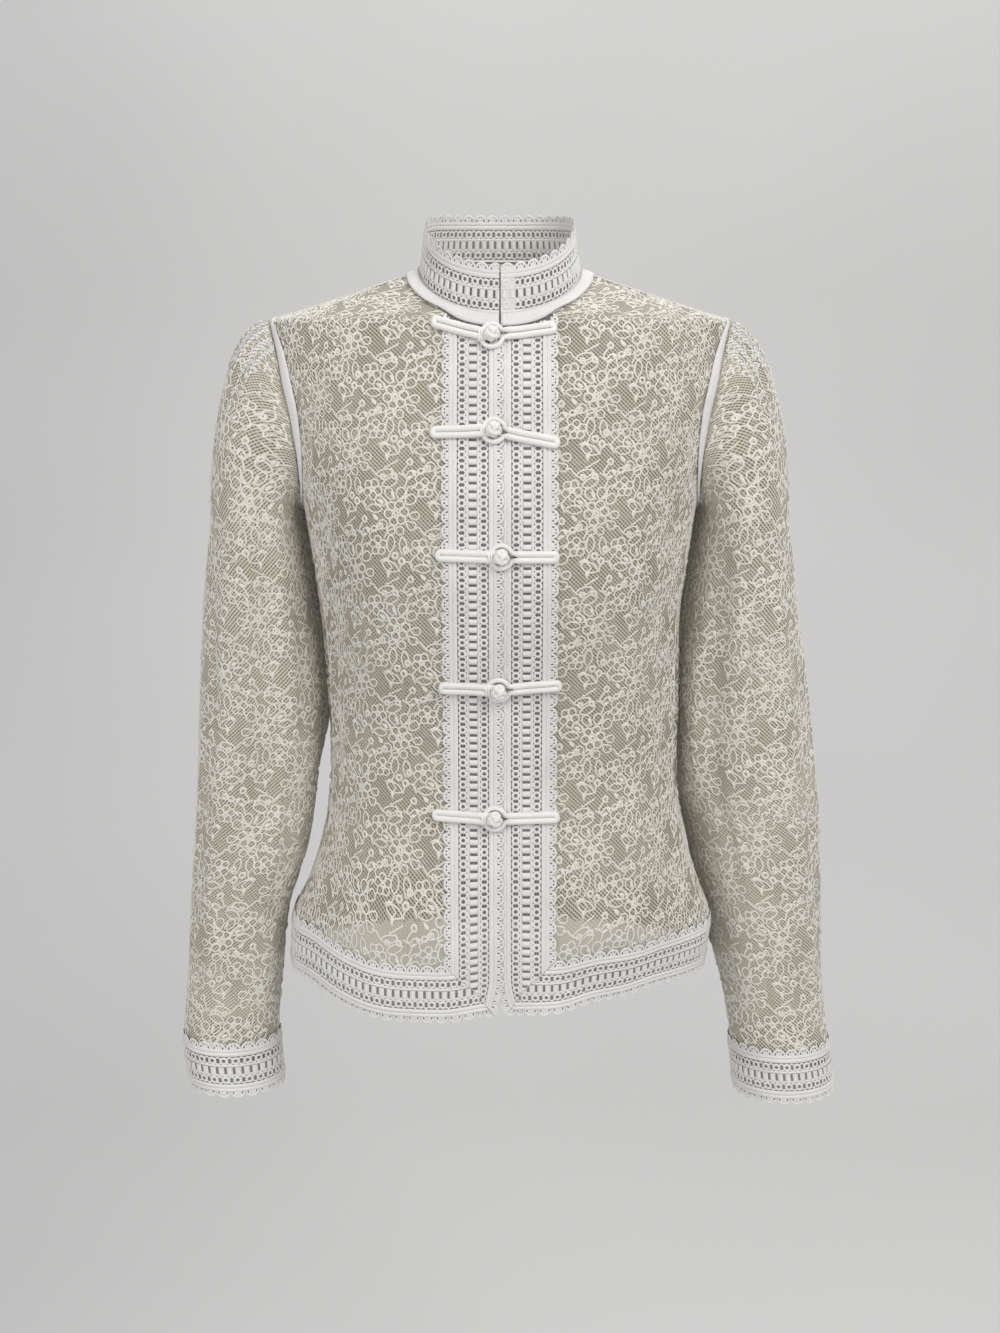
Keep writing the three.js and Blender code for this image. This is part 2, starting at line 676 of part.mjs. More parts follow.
function sleeveNode(sleeve, turn, level) {
  const inHead = level > SLEEVE_TOP_Z;
  const step = inHead ? 0.02 : 1;
  const up = inHead ? Math.min(level + step, SLEEVE_TOP_Z + 1) : level;
  const down = inHead ? Math.max(level - step, SLEEVE_TOP_Z + 0.001) : level - step;
  const round = sleeveAt(sleeve, turn + 1, level).sub(sleeveAt(sleeve, turn - 1, level));
  const rise = sleeveAt(sleeve, turn, up).sub(sleeveAt(sleeve, turn, down));
  const out = round.cross(rise).normalize();
  const at = sleeveAt(sleeve, turn, level);
  const mirror = new THREE.Vector3(sleeve.sign, 1, 1);
  return { at: at.multiply(mirror), out: out.multiply(mirror) };
}

const closedRound = (turns) => [...turns.slice(0, -1), turns[0]];

function makeSleeves() {
  for (const [side, sleeve] of Object.entries(SLEEVES)) {
    const turned = sleeve.sign < 0;
    const turns = closedRound(SLEEVE_TURNS);
    const heads = steps(0, 1, CAP_ROWS).map((share) => SLEEVE_TOP_Z + share);
    const levels = [sleeve.cuffTop - LAP, sleeve.cuffTop + 6, ...SLEEVE_ROWS, ...heads];
    const rows = levels.map((level) => turns.map((turn) => sleeveNode(sleeve, turn, level)));
    add(`sleeve_${side}`, wall(between(rows, turned)), 'lace');
    const bottom = sleeve.cuffTop - GALLOON;
    const cuffLevels = [bottom, sleeve.cuffTop - LAP, sleeve.cuffTop];
    const cuff = cuffLevels.map((level) => turns.map((turn) => sleeveNode(sleeve, turn, level)));
    add(`cuff_${side}`, wall(between(cuff, turned), STRIP_LIFT), 'galloon');
  }
}

// Tape on the body beside the armhole seam, narrower towards the underarm
function makeTapes() {
  for (const [side, { sign, front, back }] of Object.entries(PANELS)) {
    const stations = steps(0, UPPER_ROWS, UPPER_ROWS);
    const around = (panel, forward) => stations.map((k) => {
      const outer = panel[panel.length - 1 - UPPER_ROWS + k];
      const [edge, next] = [outer[PANEL_COLUMNS], outer[PANEL_COLUMNS - 1]];
      const high = smoothstep(k, TAPE_WIDE_FROM, UPPER_ROWS);
      const width = lerp(TAPE_WIDTH_LOW, TAPE_WIDTH_TOP, high);
      if (k >= TAPE_WIDE_FROM) {
        const length = edge.at.distanceTo(next.at);
        return [TAPE_INSET + width, TAPE_INSET].map((inset) => mix(edge, next, inset / length));
      }
      const turn = (180 * k) / UPPER_ROWS;
      const { degrees, z } = armhole(forward ? turn : -turn);
      return [TAPE_INSET + width, TAPE_INSET].map((inset) => {
        const across = inset * TAPE_DEG_PER_MM * Math.sin(radians(forward ? turn : -turn));
        return bodyNode(sign * (degrees - across), z - inset * Math.cos(radians(turn)));
      });
    });
    const ring = [...around(front, true), ...around(back, false).reverse()];
    add(`armhole_tape_${side}`, wall(between([...ring, ring[0]], sign < 0), WALL + BINDING_GAP), 'tape');
  }
}

// Closed solid through rings of points, with a flat end at each side
function loft(rings) {
  const count = rings[0].length;
  const positions = rings.flat().flatMap((point) => point.toArray());
  const triangles = [];
  for (let r = 0; r + 1 < rings.length; r += 1) {
    for (let i = 0; i < count; i += 1) {
      const j = (i + 1) % count;
      const a = r * count + i;
      const b = r * count + j;
      const c = a + count;
      const d = b + count;
      triangles.push(a, b, d, a, d, c);
    }
  }
  const end = (rings.length - 1) * count;
  for (let i = 1; i + 1 < count; i += 1) {
    triangles.push(0, i + 1, i, end, end + i, end + i + 1);
  }
  return meshGeometry(positions, triangles);
}

function solid(geometry) {
  const plain = geometry.clone();
  plain.deleteAttribute('normal');
  plain.deleteAttribute('uv');
  const merged = mergeVertices(plain, 1e-4);
  return new wasm.Manifold(new wasm.Mesh({
    numProp: 3,
    vertProperties: merged.attributes.position.array,
    triVerts: Uint32Array.from(merged.index.array),
  }));
}

function fromSolid(shape) {
  const { vertProperties, triVerts } = shape.getMesh();
  return meshGeometry(Array.from(vertProperties), Array.from(triVerts));
}

// A frame on the front of the shirt: a point lifted off the cloth, with across, up and out
function frontFrame(x, z, lift) {
  const { at, out } = bodyNode(angleAt(x, z), z);
  const across = new THREE.Vector3(0, 0, 1).cross(out).normalize();
  const up = out.clone().cross(across).normalize();
  return { at: at.addScaledVector(out, lift), out, across, up };
}

const BAR_LIFT = STRIP_LIFT + WALL + LAYER_GAP;
const KNOT_LIFT = BAR_LIFT + WALL + LAYER_GAP;
const BAR_SIDES = 6;

// Two cords side by side, as one section of two rounds, swept from one end of the bar to the other
function barRings(fromX, fromZ, toX, toZ, knotX) {
  return steps(0, 1, 5).map((share) => {
    const x = lerp(fromX, toX, share);
    const z = lerp(fromZ, toZ, share);
    const nearKnot = 1 - smoothstep(Math.abs(x - knotX), 9, 22);
    const frame = frontFrame(x, z, lerp(BAR_LIFT, KNOT_LIFT, nearKnot) + CORD_RADIUS);
    const ring = [];
    for (const middle of [CORD_RADIUS, -CORD_RADIUS]) {
      for (let i = 0; i < BAR_SIDES; i += 1) {
        const angle = radians(-75 + (150 * i) / (BAR_SIDES - 1)) + (middle < 0 ? Math.PI : 0);
        const rise = middle + CORD_RADIUS * Math.cos(angle);
        const out = -CORD_RADIUS * Math.sin(angle);
        ring.push(frame.at.clone().addScaledVector(frame.up, rise).addScaledVector(frame.out, out));
      }
    }
    return toX > fromX ? ring.reverse() : ring;
  });
}

function knotGeometry(frog) {
  const frame = frontFrame(frog.knot, frog.z, KNOT_LIFT + KNOT_RADIUS * KNOT_FLATTENING);
  const ball = new THREE.SphereGeometry(KNOT_RADIUS, 12, 8);
  ball.scale(1, 1, KNOT_FLATTENING);
  const turn = new THREE.Matrix4().makeBasis(frame.across, frame.up, frame.out).setPosition(frame.at);
  return ball.applyMatrix4(turn);
}

// The loop goes round the knot and is open where the knot's own bar comes in
function loopRings(frog) {
  const frame = frontFrame(frog.knot, frog.z, KNOT_LIFT + LOOP_CORD_RADIUS);
  const radius = KNOT_RADIUS + LOOP_CLEARANCE + LOOP_CORD_RADIUS;
  return steps(180 - LOOP_OPENING_DEG, LOOP_OPENING_DEG - 180, 12).map((degrees) => {
    const angle = radians(degrees);
    const away = frame.across.clone().multiplyScalar(Math.cos(angle)).addScaledVector(frame.up, Math.sin(angle));
    const middle = frame.at.clone().addScaledVector(away, radius);
    return steps(0, 360, 6).slice(0, -1).map((around) => {
      const spin = radians(around);
      return middle.clone()
        .addScaledVector(away, LOOP_CORD_RADIUS * Math.cos(spin))
        .addScaledVector(frame.out, LOOP_CORD_RADIUS * Math.sin(spin));
    });
  });
}

function makeFrogs() {
  FROGS.forEach((frog, i) => {
    const knotBar = barRings(frog.knot - KNOT_RADIUS * 0.6, frog.z, frog.rightEnd, frog.z + frog.rightRise, frog.knot);
    const knotSide = solid(loft(knotBar)).add(solid(knotGeometry(frog)));
    add(`frog_${i + 1}_knot`, fromSolid(knotSide), 'satin');
    const reach = KNOT_RADIUS + LOOP_CLEARANCE + LOOP_CORD_RADIUS / 2;
    const loopBar = barRings(frog.knot + reach, frog.z, frog.leftEnd, frog.z + frog.leftRise, frog.knot);
    const loopSide = solid(loft(loopBar)).add(solid(loft(loopRings(frog))));
    add(`frog_${i + 1}_loop`, fromSolid(loopSide), 'satin');
  });
}

makePanels();
makePlackets();
makeHems();
makeCollar();
makeBinding();
makeSleeves();
makeTapes();
makeFrogs();

export default shirt;
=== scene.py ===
# %% [markdown]
# # Lace shirt with a stand collar and frog fastenings
# The shirt is an airy one: a net ground with flowers laid on it in cord, openwork galloon
# for its edges, and satin cord for its five fastenings. Its cut is already in the frame as
# plain walls, one for each piece of cloth. This lesson gives every piece its real lace.
#
# Lace could be painted on with a texture, but then its cords would have no thickness and
# would catch no light. So each cord is made once, flat on the table as a lacemaker does,
# repeated over the cloth, and then wrapped round the shirt.

import json

import bmesh
import bpy
import numpy as np
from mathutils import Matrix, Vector

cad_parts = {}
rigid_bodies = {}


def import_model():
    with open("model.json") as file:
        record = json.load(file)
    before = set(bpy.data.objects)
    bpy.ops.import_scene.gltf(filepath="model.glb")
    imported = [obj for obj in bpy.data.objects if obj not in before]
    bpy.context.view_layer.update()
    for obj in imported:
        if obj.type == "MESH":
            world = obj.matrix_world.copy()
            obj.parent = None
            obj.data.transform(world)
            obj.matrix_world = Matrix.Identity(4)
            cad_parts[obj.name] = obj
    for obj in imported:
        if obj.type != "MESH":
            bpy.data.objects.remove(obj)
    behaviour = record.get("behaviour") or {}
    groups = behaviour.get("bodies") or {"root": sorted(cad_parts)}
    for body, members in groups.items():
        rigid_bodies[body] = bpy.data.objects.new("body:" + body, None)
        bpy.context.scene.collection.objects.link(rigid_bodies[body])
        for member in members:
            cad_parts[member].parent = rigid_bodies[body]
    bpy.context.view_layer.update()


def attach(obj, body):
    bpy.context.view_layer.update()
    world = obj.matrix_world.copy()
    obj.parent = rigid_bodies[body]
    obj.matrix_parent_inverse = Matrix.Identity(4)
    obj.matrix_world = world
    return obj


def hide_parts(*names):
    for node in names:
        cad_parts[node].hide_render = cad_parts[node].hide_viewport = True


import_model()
MM = 0.001

# %% [markdown]
# ## The camera
# The photograph was taken level with the shoulders, about a metre and a half away, and it
# looks a little down. The camera is set first, so that every later step can be looked at.

# %% Camera
CAMERA_AWAY = 1480
CAMERA_Z = -32
CAMERA_DOWN_DEG = 10.6
FOCAL_PX = 1860
PHOTO_LONG_PX = 1333
SENSOR_MM = 36


def add_camera():
    lens = bpy.data.cameras.new("camera")
    lens.sensor_width = SENSOR_MM
    lens.lens = FOCAL_PX / PHOTO_LONG_PX * SENSOR_MM
    holder = bpy.data.objects.new("camera", lens)
    holder.location = (0, -CAMERA_AWAY * MM, CAMERA_Z * MM)
    holder.rotation_euler = (np.radians(90 - CAMERA_DOWN_DEG), 0, 0)
    bpy.context.scene.collection.objects.link(holder)
    bpy.context.scene.camera = holder
    print("lens", round(lens.lens, 1), "mm")


add_camera()

# %% [markdown]
# ## The cut of the shirt
# Every piece of lace lies on one of three shapes: the body, the left sleeve and the right
# sleeve. The shapes are the ones the frame was built with, written here as short tables of
# sections. A smooth curve through a column gives the size at any height.

# %% Tables of sections, in millimetres
WALL = 1.1
LAYER_GAP = 0.5
GALLOON = 46.5
LAP = 9.5
SCALLOP = 5.5
ROUNDING = 0.85
HEM_Z = -561
UNDERARM_Z = -176
SHOULDER_TIP_Z = -35
ARMHOLE_FRONT_DEG = 24
ARMHOLE_BACK_DEG = 26
ARMHOLE_MIDDLE_Z = (UNDERARM_Z + SHOULDER_TIP_Z) / 2
ARMHOLE_HALF = (SHOULDER_TIP_Z - UNDERARM_Z) / 2
SIDE_DEG = 90
SIDE_SEAM_DEG = 0.12
FRONT_LAP = 3.2
STRIP_EDGE = GALLOON - FRONT_LAP
LACE_EDGE = STRIP_EDGE - LAP
STRIP_LIFT = WALL + LAYER_GAP


def table(names, *rows):
    columns = zip(*sorted(rows))
    return {name: np.array(column, float) for name, column in zip(names.split(), columns)}


BODY = table(
    "z side front back",
    (12, 47, 0.5, 61.8), (11.2, 52.1, 0.5, 62.3), (9.9, 58.5, 0.5, 63.5),
    (8.2, 60.9, 0.5, 65), (6.4, 61.8, 0.5, 66.2), (3.5, 62, 0.5, 68),
    (0, 70.5, 11.6, 71), (-10, 100.5, 29, 75), (-20, 131, 46, 78),
    (-29, 158.5, 61, 81), (-35, 177, 65, 83), (-75, 177, 83, 91),
    (-104, 172, 93, 94), (-150, 160, 107, 96), (-176, 154.5, 112, 94),
    (-220, 148, 115, 88), (-270, 141, 108, 79), (-333, 136, 97, 71),
    (-380, 135, 95, 72), (-420, 138, 99, 78), (-454, 145, 103, 86),
    (-484, 155.5, 106, 93), (-511, 167, 109, 99), (-561, 170, 113, 105),
    (-590, 171, 113.5, 106),
)
HEM_LINE = table(
    "at rise",
    (180, 0), (120, 5), (90, 6), (64, 6), (48, 5), (35, 1), (24, 0), (12, -5.5),
    (0, -4), (-12, -9.5), (-24, -10), (-43, -2.3), (-63, 8.5), (-90, 9), (-120, 6), (-180, 0),
)
HEM_LINE_FROM = -430
HEM_LINE_TO = -512
HEM_CURL_AT = 42
HEM_CURL_WIDTH = 34
HEM_CURL_RISE = 2.7

# Each drape: where round the piece, how wide, from which height to which, and how deep
BODY_DRAPES = (
    (-62, 13, -150, -330, -4.5), (60, 12, -140, -300, -4), (-70, 12, -420, -575, 3),
    (72, 12, -400, -575, 2.6), (-34, 10, -470, -590, 2.4), (128, 14, -260, -480, -3),
    (-124, 14, -230, -450, -3), (160, 12, -440, -590, 2.6), (-150, 12, -450, -590, 3),
    (88, 26, -250, -560, 6), (42, 34, -503, -700, -15),
)
SLEEVES = {
    "right": {
        "sign": -1,
        "cuff_top": -611,
        "cap_slope": 0.05,
        "sections": table(
            "z inner outer front back",
            (-190, 160, 229, -56, 60), (-255, 151.5, 237, -55, 59), (-333, 143.5, 243, -52, 56),
            (-404, 150.5, 246.5, -50, 50), (-454, 158, 250, -48, 46), (-484, 167, 252.5, -47, 43),
            (-511, 175.5, 254.5, -46, 40), (-562, 181, 257.5, -46, 34), (-611, 185, 261, -49, 23),
            (-660, 182, 256.5, -51, 21),
        ),
        "drapes": (
            (74, 15, -150, -470, -6.5), (118, 16, -330, -600, 4), (20, 16, -420, -600, -2.4),
            (230, 18, -200, -480, -4), (290, 16, -340, -590, -3), (345, 18, -150, -400, 8),
        ),
    },
    "left": {
        "sign": 1,
        "cuff_top": -616,
        "cap_slope": -0.32,
        "sections": table(
            "z inner outer front back",
            (-190, 160, 229, -56, 60), (-255, 152, 238, -55, 59), (-333, 145.5, 247, -52, 56),
            (-404, 149.5, 255, -50, 50), (-430, 158, 258, -49, 48), (-454, 164, 260, -48, 46),
            (-484, 170, 262.5, -47, 43), (-511, 176.5, 264, -46, 40), (-562, 184, 266, -46, 34),
            (-616, 192, 271, -50, 24), (-665, 197.5, 277.5, -54, 26),
        ),
        "drapes": (
            (58, 15, -170, -520, -6.5), (122, 18, -260, -560, 4), (28, 14, -380, -610, -3),
            (236, 18, -220, -500, -4), (300, 16, -320, -600, -3), (345, 18, -150, -400, 8),
            (335, 22, -330, -590, 12),
        ),
    },
}
print("sections of the body:", len(BODY["z"]))

# %% Reading a table, and the drapes


def read(sizes, column, place):
    keys = next(iter(sizes.values()))
    values = sizes[column]
    gap = np.diff(keys)
    slope = np.diff(values) / gap
    before, after = slope[:-1], slope[1:]
    total = np.where(before + after == 0, 1, before + after)
    inner = np.where(before * after <= 0, 0, 2 * before * after / total)
    tangent = np.concatenate([slope[:1], inner, slope[-1:]])
    place = np.clip(place, keys[0], keys[-1])
    i = np.clip(np.searchsorted(keys, place, side="right") - 1, 0, len(gap) - 1)
    t = (place - keys[i]) / gap[i]
    rise = t * t * (3 - 2 * t)
    bend = t * (1 - t) ** 2 * gap[i] * tangent[i] + t * t * (t - 1) * gap[i] * tangent[i + 1]
    return values[i] * (1 - rise) + values[i + 1] * rise + bend


def smooth(value, low, high):
    t = np.clip((value - low) / (high - low), 0, 1)
    return t * t * (3 - 2 * t)


def turn_between(degrees, at):
    return (degrees - at + 540) % 360 - 180


DRAPE_EASE = 0.3


def push_of(drapes, degrees, z):
    push = 0
    for at, width, top, bottom, depth in drapes:
        across = np.exp(-(turn_between(degrees, at) / width) ** 2)
        ease = DRAPE_EASE * (top - bottom)
        lengthwise = smooth(z, bottom, bottom + ease) * (1 - smooth(z, top - ease, top))
        push = push + depth * across * lengthwise
    return push


def power(value):
    return np.sign(value) * np.abs(value) ** ROUNDING


# %% [markdown]
# ## Soft creases
# Lace is light, so it hangs in small uneven ripples on top of the broad drapes of the cut.
# They are listed in a short table for the body and one for each sleeve. Each row is a
# soft trough or ridge that runs mostly downwards and leans a little to one side.

# %% Creases: angle, width, top, bottom, depth, and lean in degrees from end to end
BODY_CREASES = (
    (-80, 2.4, -160, -430, -1.5, 5), (-74, 2.2, -190, -500, 1.3, -4),
    (-68, 2.6, -230, -420, -1.3, 4), (-57, 3.0, -120, -260, 1.0, 6),
    (-84, 2.0, -200, -540, 1.6, 2), (-88, 2.2, -170, -500, -1.8, 3),
    (80, 2.4, -170, -450, -1.5, -5), (74, 2.2, -180, -470, 1.3, 4),
    (67, 2.6, -240, -440, -1.2, -5), (55, 3.2, -110, -270, 1.0, -6),
    (84, 2.0, -190, -520, 1.6, -2), (88, 2.2, -170, -520, -1.8, -3),
    (-28, 4.0, -80, -230, -0.9, -7), (30, 4.4, -90, -250, -0.9, 8),
    (-47, 3.4, -330, -510, 1.1, 5), (47, 3.6, -320, -500, 1.1, -4),
    (26, 3.6, -380, -530, -1.0, 3), (-22, 3.4, -400, -530, -1.0, -3),
    (104, 3.0, -200, -480, -1.6, 6), (116, 3.4, -240, -520, 1.4, 5),
    (140, 4.0, -60, -250, -1.2, 8), (152, 3.4, -330, -540, 1.3, 4),
    (171, 3.2, -300, -540, -1.2, -3), (-171, 3.6, -280, -500, 1.1, 3),
    (-139, 4.2, -70, -260, -1.2, -8), (-113, 3.2, -220, -500, 1.5, -5),
    (-100, 3.0, -190, -520, -1.6, -4), (-128, 3.0, -330, -540, 1.2, -4),
)
SLEEVE_CREASES = {
    "right": (
        (96, 5, -200, -420, 2.4, 8), (132, 6, -210, -380, -2.7, -10),
        (150, 5, -300, -560, 2.1, 8), (60, 5, -330, -560, 2.4, -6),
        (40, 6, -210, -400, -2.4, 10), (100, 5, -440, -600, -2.1, -8),
        (176, 7, -230, -500, -2.7, 6), (210, 6, -320, -590, 2.4, 8),
        (262, 7, -210, -460, 2.4, -8), (318, 6, -250, -540, -2.4, 6),
        (84, 4, -520, -600, 1.8, 5), (128, 5, -500, -600, -1.8, 6),
    ),
    "left": (
        (90, 5, -210, -400, -2.4, -8), (124, 6, -200, -360, 2.4, 10),
        (148, 5, -260, -520, -2.4, -8), (66, 5, -300, -540, 2.1, 7),
        (36, 6, -220, -430, 2.4, -8), (104, 5, -420, -600, 2.1, 8),
        (172, 7, -240, -520, 2.7, -6), (206, 6, -300, -580, -2.4, -8),
        (258, 7, -220, -470, -2.4, 8), (322, 6, -260, -550, 2.4, -6),
        (78, 4, -500, -605, -1.8, -5), (136, 5, -480, -600, 1.8, -6),
    ),
}
CREASE_EASE = 0.4


def crease_push(creases, degrees, z):
    push = 0
    for at, width, top, bottom, depth, lean in creases:
        middle = at + lean * (z - (top + bottom) / 2) / (bottom - top)
        across = np.exp(-(turn_between(degrees, middle) / width) ** 2)
        ease = CREASE_EASE * (top - bottom)
        lengthwise = smooth(z, bottom, bottom + ease) * (1 - smooth(z, top - ease, top))
        push = push + depth * across * lengthwise
    return push


print("creases:", len(BODY_CREASES) + sum(len(rows) for rows in SLEEVE_CREASES.values()))

# %% [markdown]
# ## The three shapes
# A place on the body is an angle round it and a height; 0 degrees is centre front and 90 the
# wearer's left side. A place on a sleeve is an angle round the tube and a level: a height up
# to the underarm, and from there a share of the way over the head to the armhole.

# %% The body


def true_height(degrees, z):
    around = turn_between(degrees, 0)
    level = smooth(z, HEM_LINE_TO, HEM_LINE_FROM)
    curl = 1 - smooth(z, HEM_Z, HEM_Z + GALLOON)
    near = np.exp(-((around - HEM_CURL_AT) / HEM_CURL_WIDTH) ** 2)
    return z + (1 - level) * read(HEM_LINE, "rise", around) + curl * near * HEM_CURL_RISE


def body_at(degrees, z):
    degrees, z = np.broadcast_arrays(np.asarray(degrees, float), np.asarray(z, float))
    angle = np.radians(degrees)
    height = true_height(degrees, z)
    depth = np.where(np.cos(angle) > 0, read(BODY, "front", height), read(BODY, "back", height))
    x = read(BODY, "side", height) * power(np.sin(angle))
    y = -depth * power(np.cos(angle))
    push = push_of(BODY_DRAPES, degrees, height) + crease_push(BODY_CREASES, degrees, height)
    grow = 1 + push / np.maximum(np.hypot(x, y), 1)
    return np.stack([x * grow, y * grow, height], axis=-1)


def unit(vectors):
    return vectors / np.maximum(np.linalg.norm(vectors, axis=-1, keepdims=True), 1e-9)


def body_normal(degrees, z):
    round_step = body_at(degrees + 0.5, z) - body_at(degrees - 0.5, z)
    rise_step = body_at(degrees, z + 0.5) - body_at(degrees, z - 0.5)
    return unit(np.cross(round_step, rise_step))


def on_body(degrees, z, lift):
    """The places that stand a given height off the body, in millimetres."""
    return body_at(degrees, z) + body_normal(degrees, z) * np.asarray(lift)[..., None]


ANGLE_PASSES = 5


def angle_at(x, z, behind=False):
    x, z = np.broadcast_arrays(np.asarray(x, float), np.asarray(z, float))
    degrees = np.zeros_like(x)
    for _ in range(ANGLE_PASSES):
        height = true_height(degrees, z)
        point = body_at(degrees, z)
        push = push_of(BODY_DRAPES, degrees, height) + crease_push(BODY_CREASES, degrees, height)
        radius = np.maximum(np.hypot(point[..., 0], point[..., 1]), 1)
        share = np.clip(np.abs(x) / (read(BODY, "side", height) * (1 + push / radius)), 0, 1)
        turn = np.degrees(np.arcsin(share ** (1 / ROUNDING)))
        degrees = np.where(x < 0, -1, 1) * (180 - turn if behind else turn)
    return degrees


NECK_RADIUS = 62
NECK_SIDE_Z = 3.5
NECK_TILT = 32.5
NECK_BACK_RISE = 8


def neck_height(turn):
    behind = -np.cos(np.radians(turn))
    level = np.where(behind > 0, 1 + (NECK_TILT / NECK_BACK_RISE - 1) * behind, 1)
    return NECK_SIDE_Z + NECK_TILT * behind / level


def neckline(turn):
    turn = np.asarray(turn, float)
    x = NECK_RADIUS * np.sin(np.radians(turn))
    z = neck_height(turn)
    return np.where(np.abs(turn) > SIDE_DEG, angle_at(x, z, True), angle_at(x, z)), z


def armhole(turn):
    forward = np.sin(np.radians(turn))
    width = np.where(forward > 0, ARMHOLE_FRONT_DEG, ARMHOLE_BACK_DEG)
    z = ARMHOLE_MIDDLE_Z - ARMHOLE_HALF * np.cos(np.radians(turn))
    return SIDE_DEG - width * forward, z


print("hem half width", np.round(body_at(90, HEM_Z)[0], 1), "mm")

# %% The sleeves
SLEEVE_TOP_Z = -190
HEAD_GAP = 0.75
TAPE_ROOM = 2.4
CAP_RISE = 0.45
CAP_PUFF = 0.2
CAP_UNDER_SLOPE = -0.2
CAP_FORWARD = -0.25
PLEAT_DEPTH = 3.6
PLEAT_STEP_DEG = 14
PLEAT_ZONE = 46
PLEAT_ZONE_SOFT = (10, 5)
PLEAT_FADE_IN = (0.3, 0.75)
PLEAT_FLATTENS = 0.6
PLEAT_OUT = (0.6, -0.3, 0.75)


def tube_at(side, turn, z):
    sleeve = SLEEVES[side]
    names = ("inner", "outer", "front", "back")
    sizes = {name: read(sleeve["sections"], name, z) for name in names}
    push = push_of(sleeve["drapes"], turn, z) + crease_push(SLEEVE_CREASES[side], turn, z)
    angle = np.radians(turn)
    x = (sizes["inner"] + sizes["outer"]) / 2
    x = x - ((sizes["outer"] - sizes["inner"]) / 2 + push) * np.cos(angle)
    y = (sizes["front"] + sizes["back"]) / 2
    y = y - ((sizes["back"] - sizes["front"]) / 2 + push) * np.sin(angle)
    return np.stack(np.broadcast_arrays(x, y, z), axis=-1)


def head_at(side, turn, share):
    cap_slope = SLEEVES[side]["cap_slope"]
    angle = np.radians(turn)
    over = np.cos(angle)
    start = tube_at(side, turn, np.full_like(turn, SLEEVE_TOP_Z))
    seam_degrees, seam_z = armhole(turn)
    seam_out = body_normal(seam_degrees, seam_z)
    end = body_at(seam_degrees, seam_z)
    end[..., 0] += HEAD_GAP + WALL * seam_out[..., 0] + (WALL + TAPE_ROOM) * np.maximum(0, over)
    reach = np.linalg.norm(end - start, axis=-1)[..., None]
    slope = np.where(over > 0, CAP_UNDER_SLOPE, -cap_slope)
    away = np.stack([np.ones_like(over), CAP_FORWARD * np.sin(angle), slope * over], axis=-1)
    second = start + np.array([0, 0, CAP_RISE]) * reach
    third = end + away * CAP_PUFF * reach
    t = share[..., None]
    point = ((1 - t) ** 3 * start + 3 * t * (1 - t) ** 2 * second
             + 3 * t * t * (1 - t) * third + t ** 3 * end)
    from_tip = turn_between(turn, 180)
    zone_from, zone_to = PLEAT_ZONE - PLEAT_ZONE_SOFT[0], PLEAT_ZONE + PLEAT_ZONE_SOFT[1]
    fade = smooth(share, *PLEAT_FADE_IN) * (1 - smooth(np.abs(from_tip), zone_from, zone_to))
    wave = np.cos(np.radians(from_tip * 180 / PLEAT_STEP_DEG))
    pleat = PLEAT_DEPTH * wave * fade * (1 - share * PLEAT_FLATTENS)
    outward, forward, upward = PLEAT_OUT
    lift = np.stack([np.full_like(over, outward), forward * np.sin(angle),
                     np.full_like(over, upward)], axis=-1)
    return point + lift * pleat[..., None]


def sleeve_at(side, turn, level):
    turn, level = np.broadcast_arrays(np.asarray(turn, float) % 360, np.asarray(level, float))
    tube = tube_at(side, turn, np.minimum(level, SLEEVE_TOP_Z))
    head = head_at(side, turn, np.clip(level - SLEEVE_TOP_Z, 0, 1))
    return np.where((level <= SLEEVE_TOP_Z)[..., None], tube, head)


def sleeve_normal(side, turn, level):
    in_head = level > SLEEVE_TOP_Z
    step = np.where(in_head, 0.02, 1)
    up = np.where(in_head, np.minimum(level + step, SLEEVE_TOP_Z + 1), level)
    down = np.where(in_head, np.maximum(level - step, SLEEVE_TOP_Z + 0.001), level - step)
    round_step = sleeve_at(side, turn + 1, level) - sleeve_at(side, turn - 1, level)
    rise_step = sleeve_at(side, turn, up) - sleeve_at(side, turn, down)
    return unit(np.cross(round_step, rise_step))


def on_sleeve(side, turn, level, lift):
    """The places that stand a given height off a sleeve, on the wearer's own side."""
    mirror = np.array([SLEEVES[side]["sign"], 1, 1])
    raised = sleeve_normal(side, turn, level) * np.asarray(lift)[..., None]
    return (sleeve_at(side, turn, level) + raised) * mirror


print("sleeve tip to cuff", SHOULDER_TIP_Z - SLEEVES["right"]["cuff_top"] + GALLOON, "mm")

# %% [markdown]
# ## From flat cloth to the shirt
# A pattern repeats evenly only on flat cloth, so each shape needs a flat plan: how far round a
# place is, in millimetres along the cloth, and how far up. The plan is measured on the shape
# itself. Looking a flat place up in the plan then gives the angle and height it is sewn to.

# %% Plans


def arc_lengths(points):
    steps = np.linalg.norm(np.diff(points, axis=1), axis=-1)
    return np.concatenate([np.zeros((len(points), 1)), np.cumsum(steps, axis=1)], axis=1)


def make_plan(point_at, turns, levels, zero_turn):
    grid = point_at(turns[None, :], levels[:, None])
    lengths = arc_lengths(grid)
    zero = np.array([np.interp(zero_turn, turns, row) for row in lengths])
    return {"turns": turns, "levels": levels, "lengths": lengths - zero[:, None]}


def plan_length(plan, turn, level):
    turn_place = (turn - plan["turns"][0]) / (plan["turns"][1] - plan["turns"][0])
    level_place = np.interp(level, plan["levels"], np.arange(len(plan["levels"])))
    i = np.clip(turn_place.astype(int), 0, len(plan["turns"]) - 2)
    j = np.clip(level_place.astype(int), 0, len(plan["levels"]) - 2)
    a, b = turn_place - i, level_place - j
    rows = plan["lengths"]
    low = rows[j, i] * (1 - a) + rows[j, i + 1] * a
    high = rows[j + 1, i] * (1 - a) + rows[j + 1, i + 1] * a
    return low * (1 - b) + high * b


PLAN_PASSES = 20


